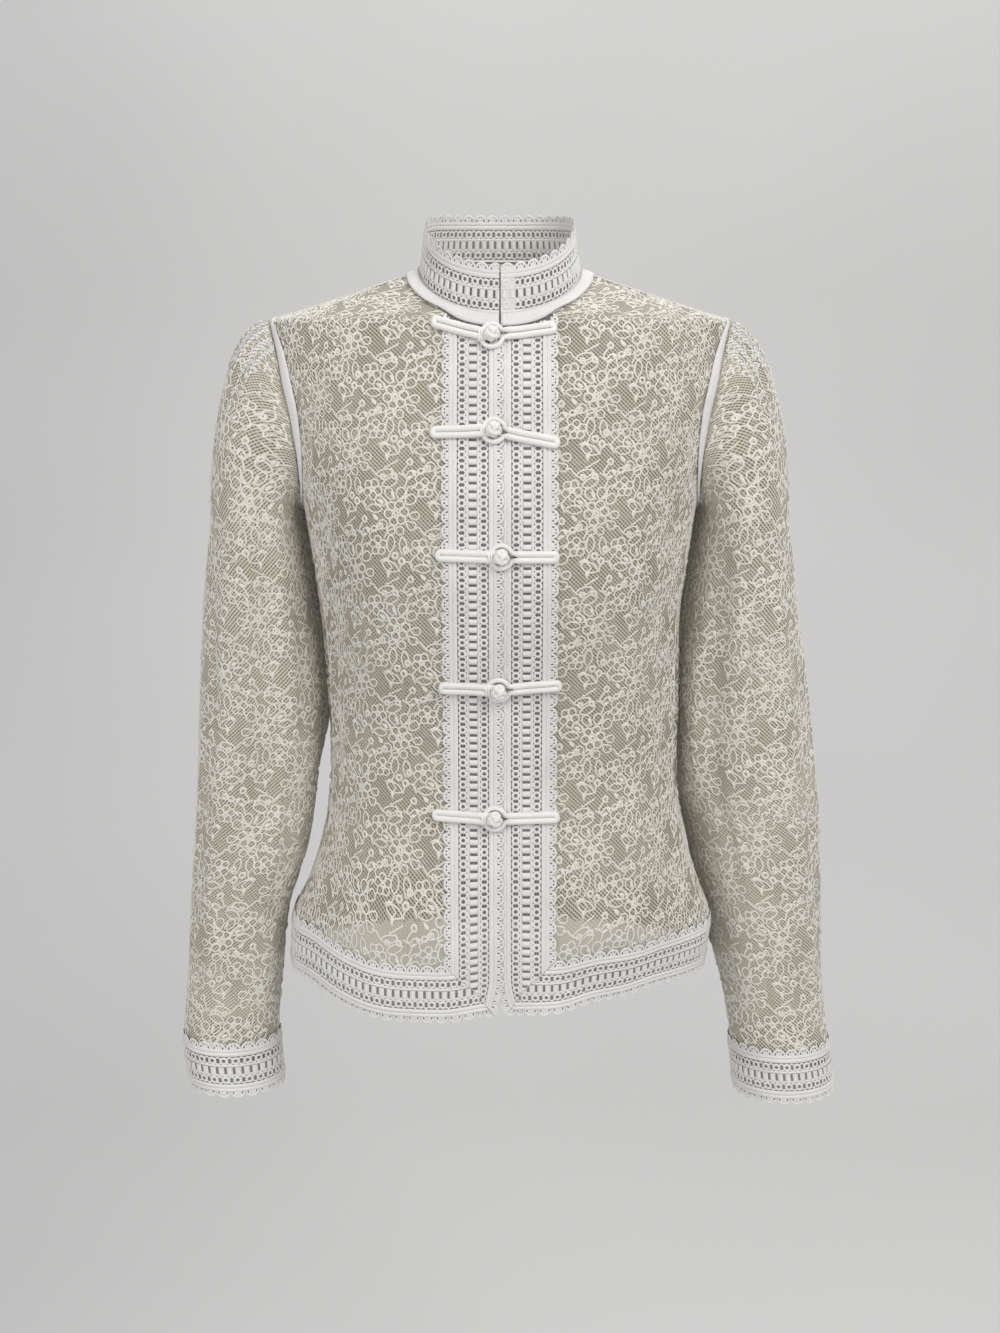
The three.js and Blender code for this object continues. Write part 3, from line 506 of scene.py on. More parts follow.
def plan_turn(plan, length, level):
    low = np.full(length.shape, plan["turns"][0])
    high = np.full(length.shape, plan["turns"][-1])
    for _ in range(PLAN_PASSES):
        middle = (low + high) / 2
        short = plan_length(plan, middle, level) < length
        low, high = np.where(short, middle, low), np.where(short, high, middle)
    return (low + high) / 2


# The shoulders slope, so a step in height is a longer step along the cloth there
SLOPE_AT_DEG = 50
HEIGHTS = np.linspace(-600, 14, 400)
CLOTH_STEPS = np.linalg.norm(np.diff(body_at(SLOPE_AT_DEG, HEIGHTS), axis=0), axis=-1)
UP_CLOTH = np.concatenate([[0], np.cumsum(CLOTH_STEPS)])
UP_CLOTH = UP_CLOTH - np.interp(UNDERARM_Z, HEIGHTS, UP_CLOTH)


def up_cloth(z):
    return np.interp(z, HEIGHTS, UP_CLOTH)


def height_of(up):
    return np.interp(up, UP_CLOTH, HEIGHTS)


FRONT_PLAN = make_plan(body_at, np.arange(-92, 92.5, 0.5), HEIGHTS[::4], 0)
BACK_PLAN = make_plan(body_at, np.arange(88, 272.5, 0.5), HEIGHTS[::4], 180)
SEAM_SHIFT_DEG = 1e-6


def sleeve_plan(side):
    def place(turn, level):
        return sleeve_at(side, turn + SEAM_SHIFT_DEG, level)

    return make_plan(place, np.arange(0, 361, 2.0), np.arange(-670, -189, 5.0), 0)


SLEEVE_PLANS = {side: sleeve_plan(side) for side in SLEEVES}
HEAD_LENGTHS = {}
for side in SLEEVES:
    turns = np.arange(0, 361, 3.0)
    shares = SLEEVE_TOP_Z + np.linspace(0, 1, 12)
    path = sleeve_at(side, turns[:, None], shares[None, :])
    HEAD_LENGTHS[side] = (turns, np.linalg.norm(np.diff(path, axis=1), axis=-1).sum(axis=1))
print("front", np.round(FRONT_PLAN["lengths"][-60, -5]), "mm from centre to side seam")

# %% Sewing flat places onto the shapes


def sew_body(plan, places, lift):
    z = height_of(places[:, 1])
    turn = plan_turn(plan, places[:, 0], z)
    return on_body(turn, z, places[:, 2] + lift), turn, z


HEAD_BEYOND = 1.4


def sleeve_place(side, places):
    up = places[:, 1]
    turn = plan_turn(SLEEVE_PLANS[side], places[:, 0], np.minimum(up, SLEEVE_TOP_Z))
    turns, lengths = HEAD_LENGTHS[side]
    share = (up - SLEEVE_TOP_Z) / np.interp(turn, turns, lengths)
    return turn, np.where(up > SLEEVE_TOP_Z, SLEEVE_TOP_Z + np.clip(share, 0, HEAD_BEYOND), up)


def sew_sleeve(side, places, lift):
    turn, level = sleeve_place(side, places)
    return on_sleeve(side, turn, level, places[:, 2] + lift), turn, level


# %% [markdown]
# ## Materials
# Two kinds of cloth make all eight finishes. A net is drawn by nodes on each sheet's own map:
# two sets of slanting threads, one stronger than the other, with the gaps between them partly
# clear, and coloured dark there as painted shade for the shaded inside seen through them. The
# body, the sleeves, the pleat strips at the sleeve heads and the sheet behind the galloon are
# such nets in other tones: the sleeves lighter than the body, whose darker tone is painted
# shade; the pleat strips paler, partly for their double net and partly as painted highlight;
# the sheet behind the galloon dark all over, as painted shade behind its openwork. A thread is
# a plain colour with a fine twist in its bump: matt cotton for the laid cord, the galloon and
# the tape, and a smoother, glossier one for the satin of the frogs.

# %% Node helpers


def new_material(name):
    material = bpy.data.materials.new(name)
    material.use_nodes = True
    nodes = material.node_tree.nodes
    return material, nodes, material.node_tree.links, nodes["Principled BSDF"]


def math_node(nodes, links, operation, first, second=None, third=None):
    node = nodes.new("ShaderNodeMath")
    node.operation = operation
    for socket, value in zip(node.inputs, (first, second, third)):
        if isinstance(value, (int, float)):
            socket.default_value = value
        elif value is not None:
            links.new(value, socket)
    return node.outputs[0]


def noise_node(nodes, links, coordinates, scale, detail=2.0):
    node = nodes.new("ShaderNodeTexNoise")
    node.inputs["Scale"].default_value = scale
    node.inputs["Detail"].default_value = detail
    links.new(coordinates, node.inputs["Vector"])
    return node.outputs["Fac"]


def ramp_node(nodes, links, value, low, high, low_at=0.3, high_at=0.7):
    node = nodes.new("ShaderNodeValToRGB")
    node.color_ramp.elements[0].position = low_at
    node.color_ramp.elements[1].position = high_at
    node.color_ramp.elements[0].color = (*low, 1)
    node.color_ramp.elements[1].color = (*high, 1)
    links.new(value, node.inputs["Fac"])
    return node.outputs["Color"]


def bump_node(nodes, links, height, strength, distance):
    node = nodes.new("ShaderNodeBump")
    node.inputs["Strength"].default_value = strength
    node.inputs["Distance"].default_value = distance
    links.new(height, node.inputs["Height"])
    return node.outputs["Normal"]


# %% The net
NET_PITCH = 2.3
# The darker tone is painted shade in the net's gaps, for the shaded inside seen through them; the
# lighter one is the thread.
NET_GAP_SHADE = (0.145, 0.127, 0.082)
NET_LIGHT = (0.57, 0.535, 0.435)
NET_GAP_ALPHA = 0.38


def net_material(name, gap_shade, light, pitch, gap_alpha):
    material, nodes, links, shader = new_material(name)
    place = nodes.new("ShaderNodeTexCoord")
    split = nodes.new("ShaderNodeSeparateXYZ")
    links.new(place.outputs["UV"], split.inputs[0])
    u, v = split.outputs[0], split.outputs[1]
    threads = float(np.pi / pitch * 1000 / np.sqrt(2))
    waves = []
    for operation in ("ADD", "SUBTRACT"):
        slant = math_node(nodes, links, operation, u, v)
        turned = math_node(nodes, links, "MULTIPLY", slant, threads)
        wave = math_node(nodes, links, "SINE", turned)
        waves.append(math_node(nodes, links, "MULTIPLY", wave, wave))
    crossed = math_node(nodes, links, "MULTIPLY_ADD", waves[1], 0.65, 0.35)
    gap = math_node(nodes, links, "MULTIPLY", waves[0], crossed)
    # A broad noise varies the tone at random, and where a gap opens the colour runs to the darker
    # tone: painted shade for the inside seen through it.
    broad = noise_node(nodes, links, place.outputs["Object"], 18)
    mixed = math_node(nodes, links, "MULTIPLY_ADD", gap, -0.75, 0.62)
    toned = math_node(nodes, links, "MULTIPLY_ADD", broad, 0.5, mixed)
    links.new(ramp_node(nodes, links, toned, gap_shade, light, 0.15, 0.95), shader.inputs["Base Color"])
    opened = nodes.new("ShaderNodeMapRange")
    opened.interpolation_type = "SMOOTHSTEP"
    opened.inputs["From Min"].default_value = 0.2
    opened.inputs["From Max"].default_value = 0.7
    opened.inputs["To Min"].default_value = 1.0
    opened.inputs["To Max"].default_value = gap_alpha
    links.new(gap, opened.inputs["Value"])
    links.new(opened.outputs[0], shader.inputs["Alpha"])
    shader.inputs["Roughness"].default_value = 0.85
    shader.inputs["Sheen Weight"].default_value = 0.15
    return material


def thread_material(name, low, high, scale, roughness, strength, sheen):
    material, nodes, links, shader = new_material(name)
    place = nodes.new("ShaderNodeTexCoord")
    fine = noise_node(nodes, links, place.outputs["Object"], scale)
    broad = noise_node(nodes, links, place.outputs["Object"], 25)
    patches = math_node(nodes, links, "MULTIPLY", broad, 0.4)
    both = math_node(nodes, links, "MULTIPLY_ADD", fine, 0.6, patches)
    links.new(ramp_node(nodes, links, both, low, high), shader.inputs["Base Color"])
    links.new(bump_node(nodes, links, fine, strength, 0.0004), shader.inputs["Normal"])
    shader.inputs["Roughness"].default_value = roughness
    shader.inputs["Sheen Weight"].default_value = sheen
    return material


MATERIALS = {
    "net": net_material("net", NET_GAP_SHADE, NET_LIGHT, NET_PITCH, NET_GAP_ALPHA),
    "cord": thread_material(
        "laid cord", (0.70, 0.668, 0.595), (0.86, 0.832, 0.765), 900, 0.8, 0.5, 0.2),
    # The same net in lighter tones for the sleeves: the body's darker net is painted shade for its
    # shaded inside, and the sleeves' gaps carry painted shade too.
    "sleeve net": net_material(
        "sleeve net", (0.19, 0.168, 0.112), (0.68, 0.64, 0.53), NET_PITCH, NET_GAP_ALPHA),
    # Paler net for the pleat strips: partly the double layer, partly painted highlight on the
    # pleats; its gaps carry painted shade.
    "gathers": net_material(
        "gathered net", (0.42, 0.405, 0.375), (0.82, 0.81, 0.78), NET_PITCH, 0.75),
    # A dark net for the sheet behind the galloon: painted shade, seen through the galloon's
    # openwork.
    "shade_backing": net_material(
        "galloon ground", (0.10, 0.095, 0.085), (0.22, 0.21, 0.195), 1.6, 0.65),
    "galloon": thread_material(
        "galloon thread", (0.71, 0.698, 0.675), (0.90, 0.888, 0.86), 1400, 0.85, 0.8, 0.3),
    "tape": thread_material(
        "plain tape", (0.66, 0.652, 0.635), (0.84, 0.83, 0.81), 1100, 0.8, 0.6, 0.1),
    "satin": thread_material(
        "satin cord", (0.80, 0.785, 0.74), (0.90, 0.885, 0.85), 700, 0.38, 0.15, 0.3),
}
print("materials:", ", ".join(MATERIALS))

# %% [markdown]
# ## Sheets of net
# Each sheet starts as a grid on the table. Its columns run from the inner edge of the cut to
# the outer edge: from the placket to the side seam, and higher up to the armhole and the
# shoulder. The map of each sheet holds the flat place of every corner in metres, so that the
# net is drawn square to the cloth and not to the shape.

# %% Grids that become sheets


def grid_mesh(columns, rows):
    work = bmesh.new()
    bmesh.ops.create_grid(work, x_segments=columns, y_segments=rows, size=0.5)
    return work


def finish_sheet(name, work, points, flat, merge=0.0):
    layer = work.loops.layers.uv.new("flat")
    work.verts.index_update()
    for face in work.faces:
        face.smooth = True
        for loop in face.loops:
            loop[layer].uv = flat[loop.vert.index]
    for vert, point in zip(work.verts, points):
        vert.co = point
    if merge:
        bmesh.ops.remove_doubles(work, verts=work.verts, dist=merge)
    mesh = bpy.data.meshes.new(name)
    work.to_mesh(mesh)
    work.free()
    return mesh


def add_piece(name, mesh, materials):
    piece = bpy.data.objects.new(name, mesh)
    bpy.context.scene.collection.objects.link(piece)
    for material in materials:
        mesh.materials.append(MATERIALS[material])
    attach(piece, "root")
    return piece


def grid_places(work):
    """The share across and the share up of every corner of a grid one wide."""
    corners = np.array([vert.co for vert in work.verts])
    return corners[:, 0] + 0.5, corners[:, 1] + 0.5


def area_of(piece):
    return sum(face.area for face in piece.data.polygons)


UPPER_ROWS = 12
NECK_ROWS = 5
BINDING_WIDTH = 11.5
CORNER_TURN = float(np.degrees(np.arcsin(LACE_EDGE / NECK_RADIUS)))
LOWER_STATIONS = 60
UPPER_STATIONS = 56
FRONT_GRID = (56, 116)
BACK_GRID = (112, 116)


def panel_edges(side):
    """Inner and outer edge of a half panel, from the hem up; side is 1 in front, -1 behind."""
    corner_turn = CORNER_TURN if side > 0 else 180
    edge = SIDE_DEG - side * SIDE_SEAM_DEG
    low = np.linspace(HEM_Z + GALLOON - LAP, UNDERARM_Z, LOWER_STATIONS + 1)
    share = np.linspace(0, 1, UPPER_STATIONS + 1)[1:]
    outer_turn, outer_z = armhole(side * 180 * share)
    straight = 1 - NECK_ROWS / UPPER_ROWS
    corner_z = float(neckline(corner_turn)[1])
    up = np.clip(share / straight, 0, 1)
    climb = UNDERARM_Z + (corner_z - UNDERARM_Z) * up
    turn = corner_turn + (edge - corner_turn) * np.clip((share - straight) / (1 - straight), 0, 1)
    neck_turn, neck_z = neckline(turn)
    on_neck = share > straight
    inner_z = np.concatenate([low, np.where(on_neck, neck_z, climb)])
    centre = angle_at(LACE_EDGE, inner_z) if side > 0 else np.full_like(inner_z, 180)
    upper_turn = np.where(on_neck, neck_turn, centre[len(low):])
    inner_turn = np.concatenate([centre[:len(low)], upper_turn])
    outer_turn = np.concatenate([np.full_like(low, edge), outer_turn])
    limit = np.minimum if side > 0 else np.maximum
    return inner_turn, inner_z, limit(outer_turn, edge), np.concatenate([low, outer_z])


def spread_panel(side, across, up):
    inner_turn, inner_z, outer_turn, outer_z = panel_edges(side)
    row = up * (len(inner_z) - 1)

    def read_row(values):
        return np.interp(row, np.arange(len(values)), values)

    turn = read_row(inner_turn) * (1 - across) + read_row(outer_turn) * across
    return turn, read_row(inner_z) * (1 - across) + read_row(outer_z) * across


def body_sheet(name, plan, side, sign):
    work = grid_mesh(*(FRONT_GRID if side > 0 else BACK_GRID))
    across, up = grid_places(work)
    if side > 0:
        turn, z = spread_panel(side, across if sign > 0 else 1 - across, up)
        turn = sign * turn
    else:
        turn, z = spread_panel(side, np.abs(2 * across - 1), up)
        turn = np.where(across < 0.5, turn, 360 - turn)
    points = on_body(turn, z, SHEET_LIFT)
    flat = np.stack([plan_length(plan, turn, z), up_cloth(z)], axis=-1) * MM
    return add_piece(name, finish_sheet(name, work, points * MM, flat), ["net"])


SHEET_LIFT = WALL / 2
FRONTS = {
    "left": body_sheet("lace_front_left", FRONT_PLAN, 1, 1),
    "right": body_sheet("lace_front_right", FRONT_PLAN, 1, -1),
}
BACK = body_sheet("lace_back", BACK_PLAN, -1, 1)
print("front", round(area_of(FRONTS["left"]), 3), "m2, back", round(area_of(BACK), 3), "m2")

# %% Sleeve tubes
SLEEVE_GRID = (144, 130)
TUBE_SHARE = 0.75
MERGE = 1e-6


def sleeve_sheet(side):
    name = f"lace_sleeve_{side}"
    work = grid_mesh(*SLEEVE_GRID)
    across, up = grid_places(work)
    if SLEEVES[side]["sign"] < 0:
        across = 1 - across
    cuff = SLEEVES[side]["cuff_top"] - LAP
    tube = cuff + (SLEEVE_TOP_Z - cuff) * np.clip(up / TUBE_SHARE, 0, 1)
    level = np.where(up > TUBE_SHARE, SLEEVE_TOP_Z + (up - TUBE_SHARE) / (1 - TUBE_SHARE), tube)
    turn = across * 360
    points = on_sleeve(side, turn, level, SHEET_LIFT)
    turns, lengths = HEAD_LENGTHS[side]
    high = SLEEVE_TOP_Z + (level - SLEEVE_TOP_Z) * np.interp(turn, turns, lengths)
    flat = np.stack([
        plan_length(SLEEVE_PLANS[side], turn, np.minimum(level, SLEEVE_TOP_Z)),
        np.where(level > SLEEVE_TOP_Z, high, level),
    ], axis=-1) * MM
    mesh = finish_sheet(name, work, points * MM, flat, MERGE)
    return add_piece(name, mesh, ["sleeve net"])


SLEEVE_SHEETS = {side: sleeve_sheet(side) for side in SLEEVES}
print("sleeves", [round(area_of(piece), 3) for piece in SLEEVE_SHEETS.values()], "m2")

# %% [markdown]
# ## One repeat of the laid cord
# The flowers are outlined by a cord sewn onto the net. Each element below is a short formula:
# a loop for a petal, a pointed outline for a leaf, a thick short stroke for a bud and a small
# ring for an eye. One flower with its stems is listed element by element, and a half-drop
# repeat (each next column moved down by half) fills the cloth with it.

# %% Flat cords


def ring(x, y, radius, width, count=9):
    turn = np.linspace(0, 2 * np.pi, count, endpoint=False)
    return np.stack([x + radius * np.cos(turn), y + radius * np.sin(turn)], axis=-1), True, width


def turned(points, x, y, degrees):
    angle = np.radians(degrees)
    across = points[:, 0] * np.cos(angle) - points[:, 1] * np.sin(angle)
    up = points[:, 0] * np.sin(angle) + points[:, 1] * np.cos(angle)
    return np.stack([x + across, y + up], axis=-1)


def petal(x, y, degrees, length, breadth, width=1.3, start=1.5, count=12):
    turn = np.linspace(0, 2 * np.pi, count, endpoint=False)
    out = start + length * (1 - np.cos(turn)) / 2
    side = breadth / 2 * np.sin(turn) * (0.55 + 0.45 * (1 - np.cos(turn)) / 2 * 1.6)
    return turned(np.stack([out, side], axis=-1), x, y, degrees), True, width


def leaf(x, y, degrees, length, breadth, width=1.25, count=12):
    turn = np.linspace(0, 2 * np.pi, count, endpoint=False)
    out = length * (1 - np.cos(turn)) / 2
    side = breadth / 2 * np.sin(turn) * np.abs(np.sin(turn)) ** 0.35
    return turned(np.stack([out, side], axis=-1), x, y, degrees), True, width


def bud(x, y, degrees, length, breadth):
    share = np.linspace(0, 1, 5)
    points = turned(np.stack([share * length, share * 0], axis=-1), x, y, degrees)
    return points, False, np.array([0.7, breadth, breadth * 0.9, breadth * 0.6, 0.5])


CURVE_STEP = 2.6


STEM_WIDTH = 1.25


def stem(*corners):
    """A cord through a few corners, rounded off."""
    corners = np.array(corners, float)
    padded = np.vstack([2 * corners[0] - corners[1], corners, 2 * corners[-1] - corners[-2]])
    points = []
    for i in range(1, len(padded) - 2):
        before, here, after, beyond = padded[i - 1:i + 3]
        count = max(2, int(np.ceil(np.linalg.norm(after - here) / CURVE_STEP)))
        for t in np.linspace(0, 1, count, endpoint=False):
            points.append(0.5 * (2 * here + (after - before) * t
                                 + (2 * before - 5 * here + 4 * after - beyond) * t * t
                                 + (3 * here - before - 3 * after + beyond) * t ** 3))
    points.append(corners[-1])
    return np.array(points), False, STEM_WIDTH


SECTIONS = {
    "ridge": ((-0.5, 0.0), (0.0, 0.42), (0.5, 0.0)),
    "pad": ((-0.5, 0.0), (-0.42, 0.2), (0.42, 0.2), (0.5, 0.0)),
}


def section_object(name, corners):
    outline = bpy.data.curves.new(name, "CURVE")
    outline.dimensions = "2D"
    spline = outline.splines.new("POLY")
    spline.points.add(len(corners) - 1)
    for point, (across, up) in zip(spline.points, corners):
        point.co = (across, up, 0, 1)
    return bpy.data.objects.new(name, outline)


def set_radius(spline, width, count):
    radii = np.broadcast_to(np.asarray(width, float), count).copy()
    spline.points.foreach_set("radius", radii)


def finished_mesh(holder):
    """The mesh that an object's curve or modifiers give. The object itself goes."""
    bpy.context.view_layer.update()
    graph = bpy.context.evaluated_depsgraph_get()
    mesh = bpy.data.meshes.new_from_object(holder.evaluated_get(graph))
    bpy.data.objects.remove(holder)
    return mesh


def flat_cords(lines, section):
    """Lays cords flat on the table: each is its points, whether it closes, and its width."""
    shape = section_object("section", SECTIONS[section])
    path = bpy.data.curves.new("cords", "CURVE")
    path.dimensions = "3D"
    path.twist_mode = "Z_UP"
    path.bevel_mode = "OBJECT"
    path.bevel_object = shape
    for points, closed, width in lines:
        spline = path.splines.new("POLY")
        spline.points.add(len(points) - 1)
        places = np.zeros((len(points), 4))
        places[:, :2] = points
        places[:, 3] = 1
        spline.points.foreach_set("co", places.ravel())
        set_radius(spline, width, len(points))
        spline.use_cyclic_u = closed
    holder = bpy.data.objects.new("cords", path)
    bpy.context.scene.collection.objects.link(shape)
    bpy.context.scene.collection.objects.link(holder)
    mesh = finished_mesh(holder)
    outline = shape.data
    bpy.data.objects.remove(shape)
    bpy.data.curves.remove(path)
    bpy.data.curves.remove(outline)
    work = bmesh.new()
    work.from_mesh(mesh)
    work.normal_update()
    turned_down = [face for face in work.faces if face.normal.z < 0]
    bmesh.ops.reverse_faces(work, faces=turned_down)
    work.to_mesh(mesh)
    work.free()
    return mesh


# %% The flower and its stems
REPEAT_ACROSS = 75
REPEAT_UP = 88
HAND_WOBBLE = 0.4


def plump(x, y, start, spread, length, breadth):
    """A row of broad petals on an arc round a flower."""
    return [petal(x, y, degrees, length, breadth, 1.25, start, 9) for degrees in spread]


def round_petals(x, y, reach, spread, radius, width=1.3):
    """A row of round petals side by side on an arc."""
    angles = np.radians(spread)
    return [ring(x + reach * np.cos(a), y + reach * np.sin(a), radius, width, 8) for a in angles]


FLOWER = [
    *round_petals(-3, 2, 6.4, (8, 66, 128, 188, 250, 310), 3.6, 1.4), ring(-3, 2, 1.9, 1.9, 7),
    *plump(-3, 2, 10.4, (42, 76, 110, 146), 9.5, 7.6),
    *plump(-3, 2, 10.0, (-6, -38), 8.5, 6.6),
    *round_petals(-3, 2, 13.6, (-78, -108, -140), 3.4, 1.2),
]
STEMS = [
    *round_petals(19.5, 21, 4.6, (20, 92, 164, 236, 308), 3.0, 1.25), ring(19.5, 21, 1.4, 1.8, 6),
    *round_petals(15.5, -24.5, 4.9, (-10, 62, 134, 206, 278), 3.2, 1.25),
    ring(15.5, -24.5, 1.5, 1.8, 6),
    ring(-16.5, -8.5, 2.5, 1.5, 7), ring(-21.2, -10.5, 2.2, 1.4, 7),
    leaf(1.5, -15.5, -84, 14, 6.2, 1.2, 10), leaf(-7, -14.5, -97, 13, 6.4, 1.3, 10),
    leaf(-14, 4.5, 176, 12.5, 6.2, 1.2, 10), leaf(22.5, 8.5, -22, 14.5, 7.2, 1.3, 10),
    leaf(23.5, -21.5, 22, 13, 6.4, 1.2, 10), leaf(19, -13.5, 12, 13, 5.6, 1.2, 10),
    stem((12, 13), (15.5, 16.5)), stem((9, 20), (13, 24), (12.5, 29.5), (17, 33), (22, 37.5)),
    stem((24.5, 26.5), (27.5, 32), (33, 34.5), (36.5, 40)),
    stem((3.5, 21.5), (6, 27.5), (2.5, 33), (6.5, 38.5)),
    stem((-27.5, 6.5), (-31, 9.5), (-36, 8), (-38.5, 2)),
    stem((25.5, -8), (31.5, -5), (36.5, -2)), stem((36.5, 2), (33.5, 7.5)),
    stem((36, -17), (33, -12), (30.5, -8.5)), stem((10.5, -7.5), (15, -9), (19, -13.5)),
    stem((21, -29), (26, -32.5), (28.5, -38.5), (34, -41)),
    stem((11.5, -30), (8, -35.5), (10.5, -41)),
    stem((-8, -27.5), (-10, -34), (-7, -39), (-11.5, -43)),
    stem((-25.5, -20.5), (-31, -23), (-33, -29), (-37, -32)),
    stem((-23.5, -11.5), (-29, -10), (-33, -13.5), (-38.5, -12)),
    bud(-13, 9, 152, 6, 3.4), bud(-18, -4, 128, 6.5, 3.2), bud(27, 3.5, -84, 6.5, 3.2),
    bud(30.5, -26, -60, 6.5, 3.0), bud(12.5, 30, 120, 6, 3.0), bud(-10, -33, 190, 6.5, 3.0),
    bud(5.5, 28, 20, 5.5, 2.8),
    ring(-33, 18.5, 2.2, 1.9, 7), ring(33.2, 14.2, 2.2, 1.9, 7), ring(1, -34, 2.3, 2.0, 7),
    ring(-29.5, -3.5, 2.2, 1.8, 7), ring(24, -15, 2.0, 1.6, 6), ring(-4, 29.5, 2.1, 1.8, 7),
]


def by_hand(lines):
    """Moves every corner a little, because the cord is led by hand."""
    chance = np.random.default_rng(7)
    return [(points + chance.uniform(-HAND_WOBBLE, HAND_WOBBLE, points.shape), closed, width)
            for points, closed, width in lines]


def add_array(holder, name, offset, count):
    copies = holder.modifiers.new(name, "ARRAY")
    copies.use_relative_offset = False
    copies.use_constant_offset = True
    copies.constant_offset_displace = offset
    copies.count = count


def lay_repeat(mesh, across, up):
    """Lays the repeat over a flat piece, from low to high in both directions."""
    first = np.array([across[0] // REPEAT_ACROSS - 1, up[0] // REPEAT_UP - 1])
    count = [int(np.ceil((high - low) / step)) + 2
             for (low, high), step in zip((across, up), (REPEAT_ACROSS, REPEAT_UP))]
    work = bmesh.new()
    work.from_mesh(mesh)
    half = bmesh.ops.duplicate(work, geom=work.verts[:] + work.edges[:] + work.faces[:])
    moved = [part for part in half["geom"] if isinstance(part, bmesh.types.BMVert)]
    bmesh.ops.translate(work, verts=moved, vec=(REPEAT_ACROSS / 2, REPEAT_UP / 2, 0))
    start = (first[0] * REPEAT_ACROSS, first[1] * REPEAT_UP, 0)
    bmesh.ops.translate(work, verts=work.verts, vec=start)
    pair = bpy.data.meshes.new("repeat")
    work.to_mesh(pair)
    work.free()
    holder = bpy.data.objects.new("repeat", pair)
    bpy.context.scene.collection.objects.link(holder)
    add_array(holder, "across", (REPEAT_ACROSS, 0, 0), count[0])
    add_array(holder, "up", (0, REPEAT_UP, 0), count[1])
    return finished_mesh(holder)


motif = flat_cords(by_hand(FLOWER + STEMS), "ridge")
print("one repeat:", len(motif.polygons), "faces")

# %% [markdown]
# ## The flowers on each piece
# The laid cloth is cut to the piece and sewn on. The cut keeps only the cords that lie inside
# the seams, as scissors would, and the binding, tape and galloon then cover their ends.

# %% Wrapping flat work onto a piece


def corners_of(mesh):
    places = np.empty(len(mesh.vertices) * 3)
    mesh.vertices.foreach_get("co", places)
    return places.reshape(-1, 3)


def keep_where(mesh, keep):
    work = bmesh.new()
    work.from_mesh(mesh)
    work.verts.ensure_lookup_table()
    cut_off = [vert for vert, inside in zip(work.verts, keep) if not inside]
    bmesh.ops.delete(work, geom=cut_off, context="VERTS")
    work.to_mesh(mesh)
    work.free()


def place_corners(mesh, points):
    mesh.vertices.foreach_set("co", (points * MM).ravel())
    mesh.polygons.foreach_set("use_smooth", np.ones(len(mesh.polygons), bool))
    mesh.update()


SEAM_CLEAR_DEG = 0.4
EDGE_CLEAR = 1


def inside_body(turn, z, front):
    turn = np.abs(turn)
    around = np.degrees(np.arccos(np.clip((ARMHOLE_MIDDLE_Z - z) / ARMHOLE_HALF, -1, 1)))
    x = np.abs(body_at(turn, z)[:, 0])
    neck_turn = np.degrees(np.arcsin(np.clip(x / NECK_RADIUS, 0, 1)))
    if front:
        edge = np.where(z > UNDERARM_Z, armhole(around)[0], SIDE_DEG)
        seam = turn < np.minimum(edge, SIDE_DEG - SIDE_SEAM_DEG) - SEAM_CLEAR_DEG
        below = z < neck_height(neck_turn) - EDGE_CLEAR
        inner = x > LACE_EDGE - EDGE_CLEAR
    else:
        edge = np.where(z > UNDERARM_Z, armhole(-around)[0], SIDE_DEG)
        from_side = np.where(turn > 180, 360 - turn, turn)
        seam = from_side > np.maximum(edge, SIDE_DEG + SIDE_SEAM_DEG) + SEAM_CLEAR_DEG
        below = z < neck_height(180 - neck_turn) - EDGE_CLEAR
        inner = True
    neck = np.where(x < NECK_RADIUS, below, z < NECK_SIDE_Z)
    return seam & neck & inner & (z > HEM_Z + GALLOON - LAP + EDGE_CLEAR)


CORD_LIFT = SHEET_LIFT + 0.15
BODY_UP = (float(up_cloth(HEM_Z + GALLOON - LAP)), float(up_cloth(HEIGHTS[-1])))
GATHER_FROM = 92
GATHER_EASE = 50
GATHER_SHARE = 0.36


def gathered(length):
    """Draws the cloth together towards the side seams, where the lace hangs in fine gathers."""
    far = np.abs(length)
    beyond = np.maximum(far - GATHER_FROM, 0)
    eased = np.minimum(beyond, GATHER_EASE)
    taken = GATHER_SHARE * (eased ** 2 / (2 * GATHER_EASE) + np.maximum(beyond - GATHER_EASE, 0))
    return np.sign(length) * (far - taken)


def in_reach(places, across, up):
    inside = (places[:, 0] > across[0]) & (places[:, 0] < across[1])
    return inside & (places[:, 1] > up[0]) & (places[:, 1] < up[1])


def flowers_on_body(name, plan, across, front):
    mesh = lay_repeat(motif, across, BODY_UP)
    keep_where(mesh, in_reach(corners_of(mesh), across, BODY_UP))
    places = corners_of(mesh)
    places[:, 0] = gathered(places[:, 0])
    points, turn, z = sew_body(plan, places, CORD_LIFT)
    keep = inside_body(turn, z, front)
    place_corners(mesh, points)
    keep_where(mesh, keep)
    return add_piece(name, mesh, ["cord"])


HEAD_CUT = 0.985
ROUND_DEG = 359.9


def flowers_on_sleeve(side):
    plan = SLEEVE_PLANS[side]
    widest = float(plan["lengths"].max())
    low = SLEEVES[side]["cuff_top"] - LAP
    high = SLEEVE_TOP_Z + float(HEAD_LENGTHS[side][1].max())
    mesh = lay_repeat(motif, (0, widest), (low, high))
    keep_where(mesh, in_reach(corners_of(mesh), (0, widest), (low, high)))
    places = corners_of(mesh)
    turn, level = sleeve_place(side, places)
    tube_level = np.minimum(level, SLEEVE_TOP_Z)
    round_here = plan_length(plan, np.full_like(turn, ROUND_DEG), tube_level)
    keep_where(mesh, (level < SLEEVE_TOP_Z + HEAD_CUT) & (places[:, 0] < round_here))
    points = sew_sleeve(side, corners_of(mesh), CORD_LIFT)[0]
    if SLEEVES[side]["sign"] < 0:
        mesh.flip_normals()
    place_corners(mesh, points)
    return add_piece(f"flowers_sleeve_{side}", mesh, ["cord"])


